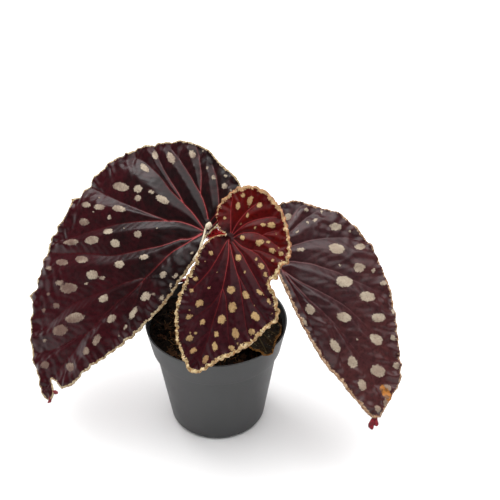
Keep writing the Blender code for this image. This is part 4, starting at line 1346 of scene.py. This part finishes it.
def tatter_mesh(name, sheet, outlines):
    """Crumpled scraps of lamina, each inside its outline of pixels."""
    shell = Shell()
    for outline in outlines:
        flat = smooth_line(sheet.seen_at(outline, sheet.base_height), 0.8 * MM, closed=True)
        middle = flat.mean(0)
        rings = [middle + (flat - middle) * share for share in (1, 0.72, 0.4)]
        count = len(flat)
        spread = np.vstack([*rings, middle[None]])
        crumple = np.array([noise.noise(Vector((*p, 0.02)) / (2.4 * MM)) for p in spread])
        height = sheet.base_height(spread) + 1.3 * MM * crumple
        half = np.concatenate([np.full(count, 0.18), np.full(2 * count + 1, 0.42)]) * MM
        local = np.vstack([np.column_stack([spread, height + half]),
                           np.column_stack([spread, height - half])])
        faces, size = [], len(spread)
        for first in (0, count):
            faces += band(first, first + count, count, flipped=True)
            faces += band(size + first, size + first + count, count)
        faces += fan(3 * count, 2 * count, count)
        faces += fan(size + 3 * count, size + 2 * count, count, flipped=True)
        faces += [((i + 1) % count, i, size + i, size + (i + 1) % count) for i in range(count)]
        shell.add(sheet.blade.places(local), faces)
    return shell.mesh(name)


def scrap_finish(name, colour, pale):
    """Dry torn lamina or swollen margin: blotchy, with a coarse grain."""
    paint = Paint(name)
    shown = paint.blend(paint.ramp(paint.noise(1.6 * MM, 3), 0.4, 0.65), colour, pale)
    return paint.finish(shown, 0.5, paint.bump(paint.noise(0.5 * MM, 2), 0.12 * MM), 0.35)


# Stalks and the rhizome

def socket_place(name):
    bearing = math.radians(STALK_SOCKETS[name])
    return (RHIZOME_CENTRE[0] + SOCKET_RING * math.cos(bearing),
            RHIZOME_CENTRE[1] + SOCKET_RING * math.sin(bearing))


def stalk_points(name, stalk):
    """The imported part's route, at fine steps, up to the underside of the blade."""
    x, y = socket_place(name)
    route = [Vector((x, y, RHIZOME_TOP - SOCKET_DEPTH + GAP)),
             Vector((x, y, RHIZOME_TOP + STALK_UPRIGHT))]
    route += [Vector(point) * MM for point in STALK_ROUTES[name]]
    if name in STALK_BLADES:
        blade = STALK_BLADES[name]
        up = blade.frame.col[2]
        along = (blade.frame @ Vector(blade.stalk_aim)).normalized()
        lean = math.sqrt(1 - along.dot(up) ** 2)
        end = Vector(blade.foot) * MM - up * (BLADE_THICKNESS / 2 + GAP + stalk.top_radius * lean)
        route += [end - along * STALK_POINT_STEP, end]
    return smooth_line(route, STALK_STEP * MM)


def stalk_mesh(name, stalk, rng):
    """A ribbed tube with bristly hairs, dense under the blade."""
    points = stalk_points(name, stalk)
    last = len(points) - 1
    radii = stalk.foot_radius + (stalk.top_radius - stalk.foot_radius) * np.linspace(0, 1, last + 1)
    radii *= 1 + 0.05 * np.array([noise.noise(Vector(p) / (5 * MM)) for p in points])
    if name not in STALK_BLADES:
        radii[-3:] *= (0.93, 0.8, 0.55)
    shell = Shell()
    shell.add(*tube(points, radii, 14))
    first = int(np.argmax(points[:, 2] > SOIL_TOP + BARE_FOOT))
    long = (last + 1 - first) * STALK_STEP
    spread = list(rng.uniform(first, last - 0.01, int(long * stalk.hairs)))
    tuft, tuft_reach, tuft_length = TUFTS.get(name, (0, 2, 1))
    tuft_first = last - int(tuft_reach / STALK_STEP)
    nearness = 1 - rng.uniform(0, 1, int(tuft * stalk.tuft)) ** 1.8
    spread += list(tuft_first + (last - 0.01 - tuft_first) * nearness)
    roots, tips, thick = [], [], []
    for at in spread:
        i = int(at)
        step = points[i + 1] - points[i]
        ahead = step / np.linalg.norm(step)
        out = rng.normal(size=3)
        out -= ahead * np.dot(out, ahead)
        out /= np.linalg.norm(out)
        aim = out + ahead * rng.normal(0, 0.35) + (0, 0, TUFT_LIFT if i >= tuft_first else 0)
        aim /= np.linalg.norm(aim)
        roots.append(points[i] + step * (at - i) + out * radii[i] * 0.85)
        tufted = i >= tuft_first and tuft
        nearby = (at - tuft_first) / (last - tuft_first) if tufted else 0
        grown = stalk.hair_length * (1 + (tuft_length - 1) * min(1, 1.6 * nearby))
        thick.append(stalk.hair_radius * (1.5 if tufted else 1))
        tips.append(roots[-1] + aim * grown * rng.uniform(0.35, 1))
    hair_cones(shell, roots, tips, thick, 1)
    return shell.mesh(name + "_hairy")


def rhizome_mesh():
    """A knobbly upright stem with rings where stalks have dropped off."""
    shell = Shell()
    rows, sides = 40, 56
    bottom = RHIZOME_TOP - RHIZOME_SUNK
    places = []
    for row in range(rows):
        share = row / (rows - 1)
        height = RHIZOME_TOP - (RHIZOME_TOP - bottom) * share ** 1.2
        dome = min(1.0, math.sqrt(1 - max(0.0, 1 - (RHIZOME_TOP - height) / RHIZOME_DOME) ** 2))
        ring = 1 + 0.05 * math.cos((RHIZOME_TOP - height) / SCAR_SPACING * 2 * math.pi)
        for i in range(sides):
            angle = 2 * math.pi * i / sides
            out = Vector((math.cos(angle), math.sin(angle), 0))
            lump = noise.fractal(out * 1.6 + Vector((0, 0, height / (5 * MM))), 0.9, 2.0, 3)
            radius = RHIZOME_RADIUS * (0.12 + 0.85 * dome) * ring * (1 + 0.07 * lump)
            places.append((RHIZOME_CENTRE[0] + radius * out.x, RHIZOME_CENTRE[1] + radius * out.y,
                           height + 0.3 * MM * lump * dome))
    faces = [tuple(range(sides))]
    for row in range(rows - 1):
        faces += band(row * sides, (row + 1) * sides, sides)
    last = (rows - 1) * sides
    faces.append(tuple(range(last + sides - 1, last - 1, -1)))
    shell.add(places, faces)
    return shell.mesh("rhizome_stem")


def stalk_finish(stalk):
    paint = Paint("stalk_red")
    cloud, streak = paint.noise(7 * MM, 4), paint.noise(1.2 * MM, 3, stretch=(1, 1, 0.25))
    colour = paint.coats(scaled(stalk.red, 0.45), (paint.ramp(cloud, 0.35, 0.65), stalk.red),
                         (paint.ramp(streak, 0.55, 0.75, 0, 0.5), (0.45, 0.09, 0.07)))
    return paint.finish(colour, 0.42, paint.bump(streak, 0.12 * MM))


def hair_finish(stalk):
    paint = Paint("stalk_hair")
    return paint.finish(paint.blend(paint.noise(2 * MM), stalk.hair, scaled(stalk.hair, 0.55)), 0.45)


# Operators

class BEGONIA_OT_stage(bpy.types.Operator):
    """Add the camera, the pale floor, the soft lights and the surroundings"""
    bl_idname = "begonia.stage"
    bl_label = "Stage"

    def execute(self, context):
        scene, stage = context.scene, context.scene.begonia_stage
        lens = bpy.data.cameras.new("camera")
        lens.sensor_width = SENSOR_MM
        lens.lens = FOCAL_PIXELS / PICTURE_SIDE * SENSOR_MM
        lens.clip_start = 0.01
        camera = bpy.data.objects.new("camera", lens)
        camera.location = CAMERA_PLACE
        camera.rotation_euler = (math.pi / 2 - CAMERA_PITCH, 0, 0)
        scene.collection.objects.link(camera)
        scene.camera = camera
        bpy.ops.mesh.primitive_circle_add(vertices=96, radius=stage.floor_radius, fill_type="NGON")
        floor = context.object
        floor.name = "floor"
        paint = Paint("floor_white")
        pale = paint.blend(paint.noise(0.4, 2), (0.88, 0.88, 0.88), (0.9, 0.9, 0.9))
        floor.data.materials.append(paint.finish(pale, 0.8, specular=0.1))
        middle = Vector((0, 0, AIM_HEIGHT))
        for name, power, size, place in (("key", stage.key, stage.key_size, KEY_PLACE),
                                         ("back", stage.back, stage.back_size, BACK_PLACE)):
            light = bpy.data.lights.new(name, "AREA")
            light.energy = power
            light.size = size
            item = bpy.data.objects.new(name, light)
            item.location = place
            item.rotation_euler = (middle - Vector(place)).to_track_quat("-Z", "Y").to_euler()
            scene.collection.objects.link(item)
        world = bpy.data.worlds.new("studio")
        world.use_nodes = True
        nodes, links = world.node_tree.nodes, world.node_tree.links
        direction = nodes.new("ShaderNodeTexCoord").outputs["Generated"]
        split = nodes.new("ShaderNodeSeparateXYZ")
        links.new(direction, split.inputs[0])
        level = nodes.new("ShaderNodeMapRange")
        level.interpolation_type = "SMOOTHSTEP"
        for key, value in (("From Min", SKY_START), ("From Max", 1.0), ("To Min", stage.horizon),
                           ("To Max", stage.sky)):
            level.inputs[key].default_value = value
        links.new(split.outputs["Z"], level.inputs["Value"])
        links.new(level.outputs["Result"], nodes["Background"].inputs["Strength"])
        nodes["Background"].inputs["Color"].default_value = (1, 1, 1, 1)
        scene.world = world
        scene.view_settings.view_transform = "Standard"
        return {"FINISHED"}


class BEGONIA_OT_pot(bpy.types.Operator):
    """Build the nursery pot"""
    bl_idname = "begonia.pot"
    bl_label = "Pot"

    def execute(self, context):
        pot = context.scene.begonia_pot
        add_piece("pot_wall", pot_mesh(pot), [plastic_finish(pot)], "pot", sharp=35)
        return {"FINISHED"}


class BEGONIA_OT_soil(bpy.types.Operator):
    """Build the peat with its crumbs, bark flakes and fibres"""
    bl_idname = "begonia.soil"
    bl_label = "Soil"

    def execute(self, context):
        pot, soil = context.scene.begonia_pot, context.scene.begonia_soil
        rng = np.random.default_rng(11)
        peat = earth_finish("peat", soil.peat, scaled(soil.peat, 2.6), 3 * MM)
        bark = earth_finish("bark", scaled(soil.bark, 0.35), soil.bark, 2 * MM)
        straw = earth_finish("straw", scaled(soil.fibre, 0.4), soil.fibre, 5 * MM, 0.7)
        add_piece("soil_bed", soil_mesh(pot, soil), [peat], "soil")
        for name, paint, count, *sizes in (("soil_crumbs", peat, soil.crumbs, *CRUMB_SIZES),
                                           ("soil_chips", bark, soil.chips, *CHIP_SIZES)):
            add_piece(name, lump_mesh(name, rng, pot, soil, count, *sizes), [paint],
                      sharp=30)
        add_piece("soil_fibres", fibre_mesh(rng, pot, soil), [straw])
        return {"FINISHED"}


class BEGONIA_OT_leaves(bpy.types.Operator):
    """Build the three spotted leaves"""
    bl_idname = "begonia.leaves"
    bl_label = "Spotted leaves"

    def execute(self, context):
        leaf = context.scene.begonia_leaf
        sheet = sheet_of(RIGHT)
        scorched = sheet.seen_at([SCORCH], sheet.base_height)[0] / MM
        under = under_finish("leaf_under", leaf.under, leaf.margin, 1.3)
        young_under = under_finish("young_leaf_under", leaf.under, leaf.golden, 2.6)
        left = leaf_finish("leaf_left_paint", leaf, leaf.dark, leaf.maroon, (leaf.spot, leaf.faded),
                           leaf.margin, 1.2, 0.155)
        right = leaf_finish("leaf_right_paint", leaf, leaf.mauve, leaf.brown,
                            (leaf.spot, leaf.stain), leaf.tan, 2.0, 0.27, veins=0.35,
                            scorched=scorched, half_band=0.5)
        front = leaf_finish("leaf_front_paint", leaf, leaf.plum, leaf.plum,
                            (leaf.warm, leaf.brown_spot), leaf.golden, 2.5, 0.075,
                            painted_backlight=leaf.painted_backlight, veins=0.75, foot_band=0.3, rosy=leaf.rosy)
        for blade, slot, top, below in ((LEFT, "leaf", left, under), (RIGHT, "leaf", right, under),
                                        (FRONT, "young_leaf", front, young_under)):
            add_piece(blade.name + "_blade", leaf_mesh(blade), [top, below], blade.name)
        return {"FINISHED"}


class BEGONIA_OT_bits(bpy.types.Operator):
    """Build the curled margin beside the left foot and the torn bits at the tips"""
    bl_idname = "begonia.bits"
    bl_label = "Curled margin and torn bits"

    def execute(self, context):
        leaf = context.scene.begonia_leaf
        cream = scrap_finish("curl_cream", leaf.curl, scaled(leaf.curl, 1.3))
        red = scrap_finish("tatter_red", leaf.tatter, scaled(leaf.tatter, 0.4))
        add_piece("leaf_left_curl", curl_mesh("leaf_left_curl", sheet_of(LEFT), SINUS_CURL,
                                              SINUS_CURL_RADII, 0.5 * MM), [cream])
        for name, blade, outlines in (("leaf_left_tatters", LEFT, LEFT_TATTERS),
                                      ("leaf_right_tatter", RIGHT, RIGHT_TATTERS)):
            add_piece(name, tatter_mesh(name, sheet_of(blade), outlines), [red])
        return {"FINISHED"}


class BEGONIA_OT_withered_leaf(bpy.types.Operator):
    """Build the withered leaf on the soil"""
    bl_idname = "begonia.withered_leaf"
    bl_label = "Withered leaf"

    def execute(self, context):
        leaf = context.scene.begonia_leaf
        top = withered_finish("withered_paint", leaf.olive, 1.0)
        below = withered_finish("withered_under", leaf.olive, 1.6)
        add_piece("leaf_withered_blade", leaf_mesh(WITHERED), [top, below],
                  "leaf_withered")
        return {"FINISHED"}


class BEGONIA_OT_stalks(bpy.types.Operator):
    """Build the rhizome and the hairy stalks"""
    bl_idname = "begonia.stalks"
    bl_label = "Stalks and rhizome"

    def execute(self, context):
        stalk = context.scene.begonia_stalk
        rng = np.random.default_rng(5)
        red, hair = stalk_finish(stalk), hair_finish(stalk)
        brown = earth_finish("rhizome_bark", (0.05, 0.012, 0.008), (0.22, 0.07, 0.04), 3 * MM, 0.75)
        add_piece("rhizome_stem", rhizome_mesh(), [brown], "rhizome")
        for name in STALK_SOCKETS:
            add_piece(name + "_hairy", stalk_mesh(name, stalk, rng), [red, hair], name)
        return {"FINISHED"}


OPERATORS = (BEGONIA_OT_stage, BEGONIA_OT_pot, BEGONIA_OT_soil, BEGONIA_OT_leaves,
             BEGONIA_OT_bits, BEGONIA_OT_withered_leaf, BEGONIA_OT_stalks)
SETTINGS = {"begonia_pot": PotSettings, "begonia_soil": SoilSettings, "begonia_leaf": LeafSettings,
            "begonia_stalk": StalkSettings, "begonia_stage": StageSettings}


class BEGONIA_PT_sidebar(bpy.types.Panel):
    """Buttons for each piece of the begonia"""
    bl_label = "Potted begonia"
    bl_idname = "BEGONIA_PT_sidebar"
    bl_space_type = "VIEW_3D"
    bl_region_type = "UI"
    bl_category = "Begonia"

    def draw(self, context):
        for operator in OPERATORS:
            self.layout.operator(operator.bl_idname)
        for name, group in SETTINGS.items():
            box = self.layout.box()
            for setting in group.__annotations__:
                box.prop(getattr(context.scene, name), setting)


def register():
    for group in SETTINGS.values():
        bpy.utils.register_class(group)
    for name, group in SETTINGS.items():
        setattr(bpy.types.Scene, name, PointerProperty(type=group))
    for item in (*OPERATORS, BEGONIA_PT_sidebar):
        bpy.utils.register_class(item)


def unregister():
    for item in (BEGONIA_PT_sidebar, *reversed(OPERATORS)):
        bpy.utils.unregister_class(item)
    for name in SETTINGS:
        delattr(bpy.types.Scene, name)
    for group in SETTINGS.values():
        bpy.utils.unregister_class(group)


def main():
    register()
    bpy.ops.begonia.stage()
    bpy.ops.begonia.pot()
    bpy.ops.begonia.soil()
    bpy.ops.begonia.stalks()
    bpy.ops.begonia.leaves()
    bpy.ops.begonia.bits()
    bpy.ops.begonia.withered_leaf()


if __name__ == "__main__":
    main()
